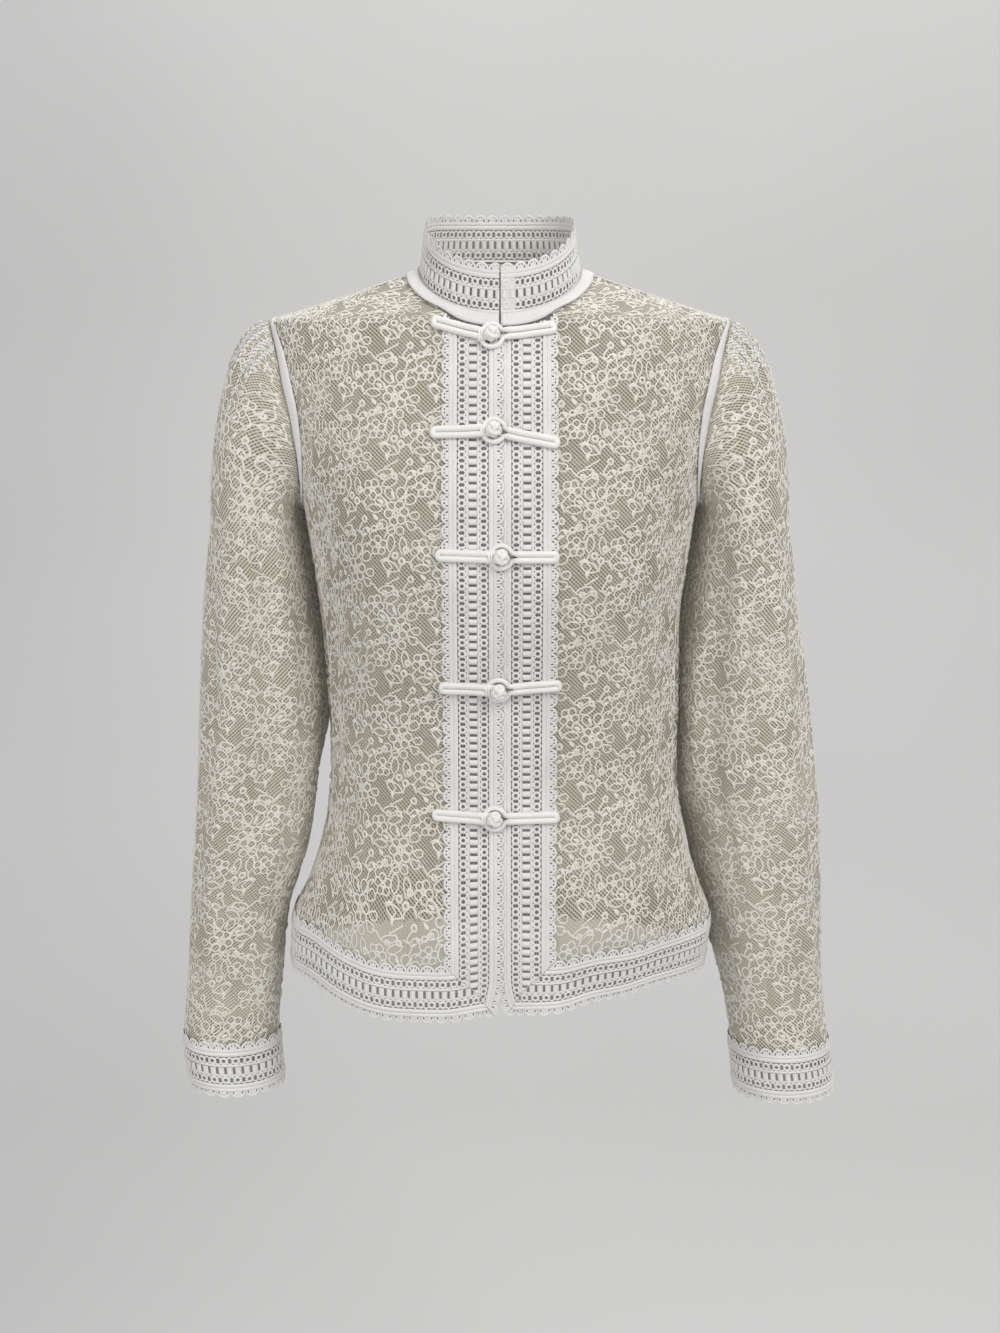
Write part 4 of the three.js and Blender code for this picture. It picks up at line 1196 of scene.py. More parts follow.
FLOWERS_FROM = LACE_EDGE - 4
FLOWERS_TO = 300
FLOWERS = {
    "front_left": flowers_on_body(
        "flowers_front_left", FRONT_PLAN, (FLOWERS_FROM, FLOWERS_TO), True),
    "front_right": flowers_on_body(
        "flowers_front_right", FRONT_PLAN, (-FLOWERS_TO, -FLOWERS_FROM), True),
    "back": flowers_on_body("flowers_back", BACK_PLAN, (-FLOWERS_TO, FLOWERS_TO), False),
    "sleeve_left": flowers_on_sleeve("left"),
    "sleeve_right": flowers_on_sleeve("right"),
}
print("faces of cord:", {name: len(piece.data.polygons) for name, piece in FLOWERS.items()})

# %% [markdown]
# ## One repeat of the galloon
# The edging is bought by the metre: a heavy openwork braid with a scalloped edge on each side,
# two rows of rings, and a ladder down the middle. One repeat holds four scallops, five rings
# and seven rungs. It is worked flat, and then bent along the placket, the hem, the cuffs and
# the collar, where it stands on its scallops.

# %% Galloon
UNIT = 43.4
SCALLOPS = 4
RINGS = 5
RUNGS = 7
MIDDLE = GALLOON / 2


STRAIGHT_STEPS = 8


def straight(across, width):
    places = np.linspace(0, UNIT, STRAIGHT_STEPS + 1)
    return np.stack([places, np.full(STRAIGHT_STEPS + 1, across)], axis=-1), False, width


def scallop(middle, edge, inward):
    """A fan: an outer arch, an inner arch and its ribs."""
    half = UNIT / SCALLOPS / 2
    turn = np.linspace(0, np.pi, 9)

    def arch(angles, narrower, foot, height):
        along = middle - (half - narrower) * np.cos(angles)
        return np.stack([along, edge + inward * (foot - height * np.sin(angles))], axis=-1)

    outer = arch(turn, 0.7, 5.3, 4.6)
    inner = arch(turn[::2], 2.9, 5.6, 2.6)
    ribs = []
    for lean in (-0.55, 0, 0.55):
        foot = np.array([middle + lean * 1.2, edge + inward * 5.4])
        tip = np.array([middle + lean * 5.4, edge + inward * (1.4 + 1.2 * abs(lean))])
        ribs.append((np.array([foot, tip]), False, 1.3))
    return [(outer, False, 1.7), (inner, False, 1.1), *ribs]


def half_galloon(edge, inward):
    """Lines from one edge to the ladder; inward is 1 from the outer edge, -1 from the inner."""
    lines = []
    for i in range(SCALLOPS):
        lines += scallop((i + 0.5) * UNIT / SCALLOPS, edge, inward)
    rails = ((6.7, 2.9), (9.9, 3.3), (19.3, 2.0))
    lines += [straight(edge + inward * across, width) for across, width in rails]
    step = UNIT / RINGS
    for i in range(RINGS):
        x = (i + 0.5) * step
        y = edge + inward * 15.2
        lines.append(ring(x, y, 2.35, 1.9, 10))
        for lean in (-1, 1):
            for rise in (-1, 1):
                ends = [[x + lean * 4.4, y + rise * 3.2], [x + lean * 2.3, y + rise * 1.5]]
                lines.append((np.array(ends), False, 1.3))
    return lines


def ladder():
    step = UNIT / RUNGS
    places = [(i + 0.5) * step for i in range(RUNGS)]
    return [(np.array([[x, MIDDLE - 3.1], [x, MIDDLE + 3.1]]), False, 4.3) for x in places]


def join_meshes(name, meshes):
    work = bmesh.new()
    for mesh in meshes:
        work.from_mesh(mesh)
        bpy.data.meshes.remove(mesh)
    joined = bpy.data.meshes.new(name)
    work.to_mesh(joined)
    work.free()
    return joined


galloon_unit = join_meshes("flat", [
    flat_cords(half_galloon(0, 1) + half_galloon(GALLOON, -1), "ridge"),
    flat_cords(ladder(), "pad"),
])
print("one repeat of galloon:", len(galloon_unit.polygons), "faces")

# %% Cutting a run of galloon to length
MITRE_GAP = 0.35


def trim(mesh, point, away):
    """Cuts flat work along a straight line and keeps the side that away points from."""
    work = bmesh.new()
    work.from_mesh(mesh)
    bmesh.ops.bisect_plane(work, geom=work.verts[:] + work.edges[:] + work.faces[:], dist=1e-4,
                           plane_co=point, plane_no=away, clear_outer=True)
    work.to_mesh(mesh)
    work.free()


def galloon_run(length, cut=None, mitred=False):
    """Repeats of the galloon as long as is asked, along x from 0, its outer edge at y = 0."""
    holder = bpy.data.objects.new("run", galloon_unit.copy())
    bpy.context.scene.collection.objects.link(holder)
    add_array(holder, "along", (UNIT, 0, 0), int(np.ceil(length / UNIT)) + 1)
    laid = finished_mesh(holder)
    trim(laid, (length, 0, 0), (1, 0, 0))
    if mitred:
        trim(laid, (MITRE_GAP, 0, 0), (-1, 1, 0))
    if cut is not None:
        places = corners_of(laid)
        keep_where(laid, cut(places[:, 0], places[:, 1]))
    return laid


# %% [markdown]
# ## The galloon on the fronts, the hem, the cuffs and the collar
# On the fronts the braid runs up each edge, and the wearer's right strip laps over the left
# by one scallop. At the hem the two runs meet in a mitre, cut at 45 degrees.

# %% Where each run lies
SLIT_TOP_Z = -530
SLIT_SPREAD = 5.5
SLIT_FADE = 20
BINDING_GAP = 1.5
COLLAR_HEIGHT = 36.5
COLLAR_TOP_RADIUS = 57
COLLAR_OPENING_DEG = 0.6
COLLAR_FOLD_WIDTH = 11
GALLOON_LIFT = STRIP_LIFT + WALL / 2
RIGHT_OVER_LEFT = WALL + LAYER_GAP
OVERLAP_EASE = (3.0, 8.0)
COLLAR_GAP = 0.3
NECK_PASSES = 24


def parted(x, z):
    spread = SLIT_SPREAD * smooth(SLIT_TOP_Z - z, 0, SLIT_TOP_Z - HEM_Z)
    return x + spread * (1 - smooth(x, SCALLOP, SLIT_FADE))


def below_neck(turn, width):
    degrees, start = neckline(turn)
    origin = body_at(degrees, start)
    low, high = start - width, start
    for _ in range(NECK_PASSES):
        middle = (low + high) / 2
        far = np.linalg.norm(body_at(degrees, middle) - origin, axis=-1) > width
        low, high = np.where(far, middle, low), np.where(far, high, middle)
    return degrees, (low + high) / 2


BINDING_TURNS = np.linspace(COLLAR_OPENING_DEG, SIDE_DEG, 60)
BINDING_EDGE = body_at(*below_neck(BINDING_TURNS, BINDING_WIDTH))
BINDING_LAP = 0.4


def placket_top(x):
    return np.interp(x, BINDING_EDGE[:, 0], BINDING_EDGE[:, 2]) - BINDING_LAP


def sew_placket(sign):
    def sew(places):
        """Along is the height above the hem's lower edge, across the distance from the edge."""
        x = places[:, 1] - FRONT_LAP
        z = HEM_Z + places[:, 0]
        moved = parted(x, z)
        turn = angle_at(sign * moved, z)
        over = RIGHT_OVER_LEFT * (1 - smooth(x, *OVERLAP_EASE)) if sign < 0 else 0
        return on_body(turn, z, GALLOON_LIFT + places[:, 2] + over)
    return sew


def in_placket(along, across):
    x = across - FRONT_LAP
    return HEM_Z + along < placket_top(np.abs(x))


def sew_hem(start, direction):
    """Along is the distance round from the start, across the height above the lower edge."""
    plan = FRONT_PLAN if abs(start) < SIDE_DEG else BACK_PLAN

    def sew(places):
        z = HEM_Z + places[:, 1]
        first = plan_length(plan, np.full_like(z, start), z)
        turn = plan_turn(plan, first + direction * places[:, 0], z)
        return on_body(turn, z, GALLOON_LIFT + places[:, 2])
    return sew


def sew_cuff(side):
    plan = SLEEVE_PLANS[side]
    bottom = SLEEVES[side]["cuff_top"] - GALLOON

    def sew(places):
        level = bottom + places[:, 1]
        whole = plan_length(plan, np.full_like(level, 360.0), level)
        turn = plan_turn(plan, places[:, 0] * whole, level)
        return on_sleeve(side, turn, level, GALLOON_LIFT + places[:, 2])
    return sew


def sew_collar(places):
    """Along is the angle round the neck, across the distance down from the scallop tips."""
    share = 1 - places[:, 1] / COLLAR_HEIGHT
    angle = np.radians(places[:, 0])
    radius = NECK_RADIUS + (COLLAR_TOP_RADIUS - NECK_RADIUS) * share + places[:, 2]
    z = neck_height(places[:, 0]) + WALL + COLLAR_GAP + share * COLLAR_HEIGHT
    return np.stack([radius * np.sin(angle), -radius * np.cos(angle), z], axis=-1)


# %% Making the runs
# Under each run lies a sheet of the dark net, painted shade behind the galloon's openwork; these
# set its inset, depth, rows and step.
BACKING_EDGE = 3.2
BACKING_DEPTH = -0.25
BACKING_ROWS = 14
BACKING_STEP = 3


def both_faces(mesh):
    """Works the same relief on the back of a flat run, so that it reads from inside too."""
    work = bmesh.new()
    work.from_mesh(mesh)
    copy = bmesh.ops.duplicate(work, geom=work.verts[:] + work.edges[:] + work.faces[:])
    corners = [part for part in copy["geom"] if isinstance(part, bmesh.types.BMVert)]
    faces = [part for part in copy["geom"] if isinstance(part, bmesh.types.BMFace)]
    bmesh.ops.scale(work, verts=corners, vec=(1, 1, -1))
    bmesh.ops.translate(work, verts=corners, vec=(0, 0, 2 * BACKING_DEPTH))
    bmesh.ops.reverse_faces(work, faces=faces)
    work.to_mesh(mesh)
    work.free()


def galloon_piece(name, run, sew, stretch=1.0, start=0.0, flip=False):
    places = corners_of(run)
    places[:, 0] = start + places[:, 0] * stretch
    if flip:
        run.flip_normals()
    place_corners(run, sew(places))
    return add_piece(name, run, ["galloon"])


# A sheet under a run; with its usual dark net it is painted shade behind the openwork.
def backing_sheet(name, length, sew, stretch=1.0, start=0.0, cut=None, flip=False,
                 high=GALLOON - BACKING_EDGE, merge=0.0, material="shade_backing", depth=BACKING_DEPTH):
    work = grid_mesh(max(4, int(length / BACKING_STEP)), BACKING_ROWS)
    across, up = grid_places(work)
    along = across * length
    height = BACKING_EDGE + up * (high - BACKING_EDGE)
    if cut is not None:
        along, height = cut(across, up)
    places = np.stack([start + along * stretch, height, np.full_like(up, depth)], axis=-1)
    if flip:
        bmesh.ops.reverse_faces(work, faces=work.faces[:])
    flat = np.stack([along, height], axis=-1) * MM
    mesh = finish_sheet(name, work, sew(places) * MM, flat, merge)
    return add_piece(name, mesh, [material])


def placket_cut(across, up):
    height = BACKING_EDGE + up * (GALLOON - 2 * BACKING_EDGE)
    low = height + MITRE_GAP
    high = placket_top(np.abs(height - FRONT_LAP)) - HEM_Z
    return low + across * (high - low), height


# %% The plackets
PLACKET_LENGTH = -HEM_Z + 10
BANDS = {}
for side, sign in (("left", 1), ("right", -1)):
    name = f"placket_{side}"
    sew = sew_placket(sign)
    run = galloon_run(PLACKET_LENGTH, in_placket, True)
    galloon_piece(f"galloon_{name}", run, sew, flip=sign > 0)
    BANDS[name] = backing_sheet(
        f"ground_{name}", PLACKET_LENGTH, sew, cut=placket_cut, flip=sign > 0)

# %% The hem
FRONT_SEAM_DEG = SIDE_DEG - SIDE_SEAM_DEG
BACK_SEAM_DEG = SIDE_DEG + SIDE_SEAM_DEG
MIDDLE_Z = np.array([HEM_Z + MIDDLE])

for side, sign in (("left", 1), ("right", -1)):
    name = f"hem_front_{side}"
    to_seam = plan_length(FRONT_PLAN, np.array([sign * FRONT_SEAM_DEG]), MIDDLE_Z)[0]
    length = float(abs(to_seam)) + FRONT_LAP
    sew_level = sew_hem(0.0, sign)

    def sew_front_hem(places, sew_level=sew_level):
        places = places.copy()
        z = HEM_Z + places[:, 1]
        places[:, 0] = parted(places[:, 0] - FRONT_LAP, z)
        return sew_level(places)

    def hem_cut(across, up, length=length):
        height = BACKING_EDGE + up * (GALLOON - 2 * BACKING_EDGE)
        low = height + MITRE_GAP
        return low + across * (length - low), height

    run = galloon_run(length, None, True)
    galloon_piece(f"galloon_{name}", run, sew_front_hem, flip=sign < 0)
    BANDS[name] = backing_sheet(
        f"ground_{name}", length, sew_front_hem, cut=hem_cut, flip=sign < 0)

back_length = float(-2 * plan_length(BACK_PLAN, np.array([BACK_SEAM_DEG]), MIDDLE_Z)[0])
sew_back_hem = sew_hem(BACK_SEAM_DEG, 1)
galloon_piece("galloon_hem_back", galloon_run(back_length), sew_back_hem)
BANDS["hem_back"] = backing_sheet("ground_hem_back", back_length, sew_back_hem)

# %% The cuffs
for side in SLEEVES:
    name = f"cuff_{side}"
    round_cuff = float(SLEEVE_PLANS[side]["lengths"][5, -1])
    units = round(round_cuff / UNIT)
    flip = SLEEVES[side]["sign"] < 0
    run = galloon_run(units * UNIT - 0.01)
    share = 1 / (units * UNIT)
    galloon_piece(f"galloon_{name}", run, sew_cuff(side), share, flip=flip)
    BANDS[name] = backing_sheet(
        f"ground_{name}", units * UNIT, sew_cuff(side), share, flip=flip, merge=MERGE)

# %% The collar
collar_round = np.radians(360 - 2 * COLLAR_OPENING_DEG) * NECK_RADIUS
collar_turn = (360 - 2 * COLLAR_OPENING_DEG) / collar_round
collar_run = galloon_run(collar_round)
trim(collar_run, (0, COLLAR_HEIGHT, 0), (0, 1, 0))
both_faces(collar_run)
galloon_piece(
    "galloon_collar", collar_run, sew_collar, collar_turn, COLLAR_OPENING_DEG, flip=True)
BANDS["collar"] = backing_sheet(
    "ground_collar", collar_round, sew_collar, collar_turn, COLLAR_OPENING_DEG, flip=True,
    high=COLLAR_HEIGHT)
# The wearer's left end of the collar is turned back on itself, so its holes show white
COLLAR_FOLD = backing_sheet(
    "fold_collar", COLLAR_FOLD_WIDTH, sew_collar, collar_turn, COLLAR_OPENING_DEG, flip=True,
    high=COLLAR_HEIGHT, material="tape", depth=BACKING_DEPTH / 2)

# %% [markdown]
# ## Binding and armhole tapes
# A plain white band is sewn over the neck seam, and a narrow tape over each armhole seam. A
# band this narrow follows its seam, so it is a grid with one long side on the seam, given a
# slight crown and then a little thickness by Solidify.

# %% Bands along seams
BINDING_INSET = 1
TAPE_INSET = 1.2
TAPE_LIFT = 1.7
TAPE_TURN_OUT = 1.3
TAPE_WIDTHS = table(
    "at width",
    (0, 1.6), (40, 1.8), (60, 4.5), (80, 7.5), (105, 8.5), (145, 6.5), (172, 2.4),
    (180, 1.8), (250, 3.6), (360, 1.6),
)
TAPE_THICKNESS = 0.7
CROWN = 0.5
TAPE_CUT = 400
TAPE_PASSES = 6


def band_piece(name, columns, rows, place_of, merge=0.0, flip=False):
    work = grid_mesh(columns, rows)
    across, up = grid_places(work)
    points, flat = place_of(across, up)
    if flip:
        bmesh.ops.reverse_faces(work, faces=work.faces[:])
    mesh = finish_sheet(name, work, points * MM, flat * MM, merge)
    piece = add_piece(name, mesh, ["tape"])
    wall = piece.modifiers.new("thickness", "SOLIDIFY")
    wall.thickness = TAPE_THICKNESS * MM
    wall.offset = 0
    return piece


def binding_places(across, up):
    turn = turn_between(COLLAR_OPENING_DEG + across * (360 - 2 * COLLAR_OPENING_DEG), 0)
    width = BINDING_WIDTH - up * (BINDING_WIDTH - BINDING_INSET)
    degrees, z = below_neck(turn, width)
    lift = WALL + BINDING_GAP + WALL / 2 + CROWN * np.sin(np.pi * up)
    flat = np.stack([across * 2 * np.pi * NECK_RADIUS, width], axis=-1)
    return on_body(degrees, z, lift), flat


BINDING = band_piece("binding_neck", 200, 5, binding_places)


def beside_armhole(turn, inset):
    """The place on the body a given distance outside the armhole seam."""
    degrees, z = armhole(turn)
    seam = body_at(degrees, z)
    grown = np.full_like(turn, 0.02)
    for _ in range(TAPE_PASSES):
        wide = SIDE_DEG + (degrees - SIDE_DEG) * (1 + grown)
        high = ARMHOLE_MIDDLE_Z + (z - ARMHOLE_MIDDLE_Z) * (1 + grown)
        far = np.linalg.norm(body_at(wide, high) - seam, axis=-1)
        grown = grown * inset / np.maximum(far, 0.1)
    return wide, high


def tape_places(sign):
    def places(across, up):
        turn = across * 360
        inset = TAPE_INSET + up * read(TAPE_WIDTHS, "width", turn)
        degrees, z = beside_armhole(turn, inset)
        turned_out = TAPE_TURN_OUT * (1 - up) * np.clip(np.sin(np.radians(turn)), 0, 1)
        lift = TAPE_LIFT + turned_out + CROWN * np.sin(np.pi * up)
        points = on_body(degrees, z, lift) * np.array([sign, 1, 1])
        return points, np.stack([across * TAPE_CUT, inset], axis=-1)
    return places


TAPES = {
    "left": band_piece("tape_armhole_left", 120, 4, tape_places(1), MERGE, flip=True),
    "right": band_piece("tape_armhole_right", 120, 4, tape_places(-1), MERGE),
}
print("binding", round(area_of(BINDING) * 1e4, 1), "cm2")

# %% [markdown]
# ## Folds at the sleeve head
# A sleeve is cut wider than its armhole, and the spare cloth is laid in small pleats at the
# top. The sleeve's own shape has their soft ridges. Where a pleat enters the seam its net lies
# double and so looks paler, and a narrow pointed strip of a paler net is laid there: its
# paleness is partly the double layer and partly painted highlight on the pleat.

# %% Folds at the sleeve head
PLEAT_FOLDS_DEG = (171, 162, 153, 144, 135, 189, 199, 209)
PLEAT_FOLD_GRID = (4, 14)
PLEAT_FOLD_HALF_DEG = 2.1
PLEAT_FOLD_POINT_DEG = 0.15
PLEAT_FOLD_FROM = 0.975
PLEAT_FOLD_LONG = 0.55
PLEAT_FOLD_SHORTER = 0.72
PLEAT_FOLD_LEAN = 0.16
PLEAT_FOLD_CROWN = 0.9
PLEAT_MAP = (1.1, 90)


def pleat_fold(side, number, start):
    work = grid_mesh(*PLEAT_FOLD_GRID)
    across, up = grid_places(work)
    length = PLEAT_FOLD_LONG * (1 if number % 2 else PLEAT_FOLD_SHORTER)
    half = PLEAT_FOLD_HALF_DEG * (1 - up ** 2) + PLEAT_FOLD_POINT_DEG
    lean = PLEAT_FOLD_LEAN * (start - 180) * up
    turn = start + lean + (2 * across - 1) * half
    level = SLEEVE_TOP_Z + PLEAT_FOLD_FROM - length * up
    points = on_sleeve(side, turn, level, WALL + PLEAT_FOLD_CROWN * np.sin(np.pi * across))
    if SLEEVES[side]["sign"] > 0:
        bmesh.ops.reverse_faces(work, faces=work.faces[:])
    flat = np.stack([turn * PLEAT_MAP[0], level * PLEAT_MAP[1]], axis=-1) * MM
    return finish_sheet("fold", work, points * MM, flat)


def pleats_on(side):
    name = f"pleats_sleeve_{side}"
    folds = [pleat_fold(side, number, start) for number, start in enumerate(PLEAT_FOLDS_DEG)]
    return add_piece(name, join_meshes(name, folds), ["gathers"])


PLEATS = {side: pleats_on(side) for side in SLEEVES}
print("folds at each sleeve head:", len(PLEAT_FOLDS_DEG))

# %% [markdown]
# ## Shoulder seams
# Two edges of corded lace are lapped on the shoulder, and the ends of their cords stand up in a
# row of small loops. A line of cord with a loop on each side of it, laid flat and then wrapped
# along the seam, gives that uneven ridge.

# %% Shoulder seams
SEAM_HEIGHTS = np.linspace(SHOULDER_TIP_Z, NECK_SIDE_Z, 80)
SEAM_PATH = body_at(SIDE_DEG, SEAM_HEIGHTS)
SEAM_STEPS = np.linalg.norm(np.diff(SEAM_PATH, axis=0), axis=-1)
SEAM_ALONG = np.concatenate([[0], np.cumsum(SEAM_STEPS)])
SEAM_START = 9
SEAM_END = BINDING_WIDTH
SEAM_LIFT = WALL + 0.3
SEAM_LOOP_STEP = 4.4
SEAM_LOOP = 1.9
SEAM_HALF_WIDTH = 2.6


def seam_lines():
    last = SEAM_ALONG[-1] - SEAM_END
    chance = np.random.default_rng(11)
    lines = []
    for along in np.arange(SEAM_START, last, SEAM_LOOP_STEP):
        for side in (-1, 1):
            place = along + (side + 1) * SEAM_LOOP_STEP / 4 + chance.uniform(-0.5, 0.5)
            across = side * SEAM_HALF_WIDTH + chance.uniform(-0.4, 0.4)
            lines.append(ring(place, across, SEAM_LOOP + chance.uniform(-0.2, 0.3), 1.5, 7))
    places = np.arange(SEAM_START, last, 2.5)
    lines.append((np.stack([places, 0.7 * np.sin(places)], axis=-1), False, 1.8))
    return lines


def shoulder_seam(side, sign):
    mesh = flat_cords(seam_lines(), "ridge")
    places = corners_of(mesh)
    z = np.interp(places[:, 0], SEAM_ALONG, SEAM_HEIGHTS)
    points = on_body(SIDE_DEG, z, SEAM_LIFT + places[:, 2])
    points[:, 1] += places[:, 1]
    if sign > 0:
        mesh.flip_normals()
    place_corners(mesh, points * np.array([sign, 1, 1]))
    return add_piece(f"seam_shoulder_{side}", mesh, ["cord"])


SEAMS = [shoulder_seam("left", 1), shoulder_seam("right", -1)]
print("shoulder seams", round(float(SEAM_ALONG[-1]), 1), "mm each")

# %% [markdown]
# ## Frog fastenings
# A frog is one length of satin cord. On the wearer's right it ends in a ball knot, on the left
# in a loop that holds the knot, and the rest lies double as a bar. The ball is worked as a
# real one is: the cord goes three times round and weaves over and under itself.

# %% Satin cord
# Each frog: height and knot, then the right bar's end and rise, and the left bar's end and rise
FROGS = (
    (-47, -6, -50, 11, 41.5, 6.5), (-115, -4.5, -50, -1, 43.5, -9), (-205, 1, -46, 1, 42, -0.5),
    (-306, -1, -44.5, 0.5, 45, 2.5), (-409, -4, -50, 2, 44, 0.5),
)
CORD_RADIUS = 1.9
KNOT_RADIUS = 6.1
LOOP_CORD_RADIUS = 1.6
LOOP_CLEARANCE = 0.5
BAR_LIFT = STRIP_LIFT + WALL + LAYER_GAP
KNOT_LIFT = BAR_LIFT + WALL + LAYER_GAP
BALL_WAYS = 3
BALL_BIGHTS = 4
BALL_CORD = 2.0
BAR_CORD = 2.45
COIL_CORD = 0.95
KNOT_SEAT = 0.85
CORD_SINK = 0.3
BAR_STEPS = 26
STEP_UP = (9, 22)


def front_frame(x, z, lift):
    turn = angle_at(x, z)
    out = body_normal(turn, z)
    across = unit(np.cross(np.array([0, 0, 1.0]), out))
    up = np.cross(out, across)
    return body_at(turn, z) + out * np.asarray(lift)[..., None], across, up, out


def round_cord(paths):
    """Round cords in millimetres: each path is its points, whether it closes, and its radius."""
    line = bpy.data.curves.new("satin", "CURVE")
    line.dimensions = "3D"
    line.bevel_depth = MM
    line.bevel_resolution = 3
    line.use_fill_caps = True
    for points, closed, radius in paths:
        spline = line.splines.new("POLY")
        spline.points.add(len(points) - 1)
        places = np.ones((len(points), 4))
        places[:, :3] = points * MM
        spline.points.foreach_set("co", places.ravel())
        set_radius(spline, radius, len(points))
        spline.use_cyclic_u = closed
    holder = bpy.data.objects.new("satin", line)
    bpy.context.scene.collection.objects.link(holder)
    mesh = finished_mesh(holder)
    bpy.data.curves.remove(line)
    for face in mesh.polygons:
        face.use_smooth = True
    return mesh


def bar_offsets(length):
    """A hairpin: out along one side, round the end and back, as places along and across."""
    reach = length - BAR_CORD
    beside = np.full(BAR_STEPS, 0.95 * BAR_CORD)
    out = np.stack([np.linspace(0, reach, BAR_STEPS), beside], axis=-1)
    turn = np.linspace(np.pi / 2, -np.pi / 2, 7)[1:-1]
    end_along = reach + 0.6 * BAR_CORD * np.cos(turn)
    end = np.stack([end_along, 0.95 * BAR_CORD * np.sin(turn)], axis=-1)
    return np.vstack([out, end, out[::-1] * np.array([1, -1])])


def bar_lift(x, knot_x):
    """A bar lies low, and steps up to the height of its knot."""
    near = 1 - smooth(np.abs(x - knot_x), *STEP_UP)
    return BAR_LIFT + (KNOT_LIFT - BAR_LIFT) * near + CORD_RADIUS - CORD_SINK


def bar_path(from_x, from_z, to_x, to_z, knot_x):
    length = np.hypot(to_x - from_x, to_z - from_z)
    ahead = np.array([to_x - from_x, to_z - from_z]) / length
    places = bar_offsets(length)
    x = from_x + ahead[0] * places[:, 0] - ahead[1] * places[:, 1]
    z = from_z + ahead[1] * places[:, 0] + ahead[0] * places[:, 1]
    return front_frame(x, z, bar_lift(x, knot_x))[0]


def ball_paths(frog):
    z, knot = frog[0], frog[1]
    centre, across, up, out = front_frame(knot, z, KNOT_LIFT + KNOT_RADIUS * KNOT_SEAT)
    share = np.linspace(0, 2 * np.pi, 150, endpoint=False)
    around = BALL_WAYS * share
    tilt = np.radians(58) * np.sin(BALL_BIGHTS * share)
    weave = np.cos(2 * BALL_BIGHTS * share + np.pi / 4)
    radius = KNOT_RADIUS - BALL_CORD + 0.42 * weave
    flat = radius * np.cos(tilt)
    axis_a, axis_b, axis_c = unit(across + 0.5 * out), up, unit(out - 0.5 * across)
    points = centre + (axis_a * (flat * np.cos(around))[:, None]
                       + axis_b * (flat * np.sin(around))[:, None]
                       + axis_c * (radius * np.sin(tilt) * 0.92)[:, None])
    return [(points, True, BALL_CORD)]


def coil_paths(frog):
    z, knot = frog[0], frog[1]
    paths = []
    for offset in (7.6, 9.6):
        lift = KNOT_LIFT + CORD_RADIUS - CORD_SINK
        centre, across, up, out = front_frame(knot - offset, z, lift)
        turn = np.linspace(0, 2 * np.pi, 16, endpoint=False)
        points = (centre + up * (4.3 * np.cos(turn))[:, None]
                  + out * (2.3 * np.sin(turn))[:, None]
                  + across * (0.5 * np.sin(turn))[:, None])
        paths.append((points, True, COIL_CORD))
    return paths


def loop_path(frog):
    """The loop round the ball, running into its own double bar."""
    z, knot, _, _, left_end, left_rise = frog
    radius = KNOT_RADIUS + LOOP_CLEARANCE + LOOP_CORD_RADIUS
    places = bar_offsets(left_end - knot)
    start = radius * 1.02
    bar = places[places[:, 0] > start + 2.5]
    turn = np.radians(np.linspace(-20, -340, 33))
    hoop = np.stack([radius * np.cos(turn), radius * np.sin(turn)], axis=-1)
    flat = np.vstack([bar, hoop])
    rise = np.arctan2(left_rise, left_end - knot)
    x = knot + flat[:, 0] * np.cos(rise) - flat[:, 1] * np.sin(rise)
    dz = flat[:, 0] * np.sin(rise) + flat[:, 1] * np.cos(rise)
    under = smooth(-flat[:, 0], 2.0, radius)
    lift = bar_lift(x, knot) - 1.2 * under
    hoop_width = np.full(len(hoop), LOOP_CORD_RADIUS + 0.25)
    width = np.concatenate([np.full(len(bar), BAR_CORD), hoop_width])
    return front_frame(x, z + dz, lift)[0], True, width


def core_mesh(frog):
    centre = front_frame(frog[1], frog[0], KNOT_LIFT + KNOT_RADIUS * KNOT_SEAT)[0]
    work = bmesh.new()
    bmesh.ops.create_uvsphere(work, u_segments=24, v_segments=14, radius=(KNOT_RADIUS - 2.4) * MM)
    bmesh.ops.translate(work, verts=work.verts, vec=Vector(centre * MM))
    for face in work.faces:
        face.smooth = True
    mesh = bpy.data.meshes.new("core")
    work.to_mesh(mesh)
    work.free()
    return mesh


KNOTS, LOOPS = [], []
for number, frog in enumerate(FROGS, 1):
    z, knot, right_end, right_rise = frog[:4]
    bar = bar_path(knot - KNOT_RADIUS * 0.6, z, right_end, z + right_rise, knot)
    cords = round_cord([(bar, False, BAR_CORD), *ball_paths(frog), *coil_paths(frog)])
    knot_side = join_meshes("flat", [cords, core_mesh(frog)])
    KNOTS.append(add_piece(f"satin_frog_{number}_knot", knot_side, ["satin"]))
    loop_side = round_cord([loop_path(frog)])
    LOOPS.append(add_piece(f"satin_frog_{number}_loop", loop_side, ["satin"]))
print("frogs:", len(KNOTS), "knots and", len(LOOPS), "loops")

# %% [markdown]
# ## What each piece stands for
# Every plain wall of the frame is now replaced by its lace.

# %% Replacing the plain walls
for side in ("left", "right"):
    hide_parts(f"front_{side}")
    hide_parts(f"sleeve_{side}")
    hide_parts(f"armhole_tape_{side}")
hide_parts("back")
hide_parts("neck_binding")
for name, band in BANDS.items():
    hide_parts(name)
for number, (knot, loop) in enumerate(zip(KNOTS, LOOPS), 1):
    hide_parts(f"frog_{number}_knot")
    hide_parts(f"frog_{number}_loop")

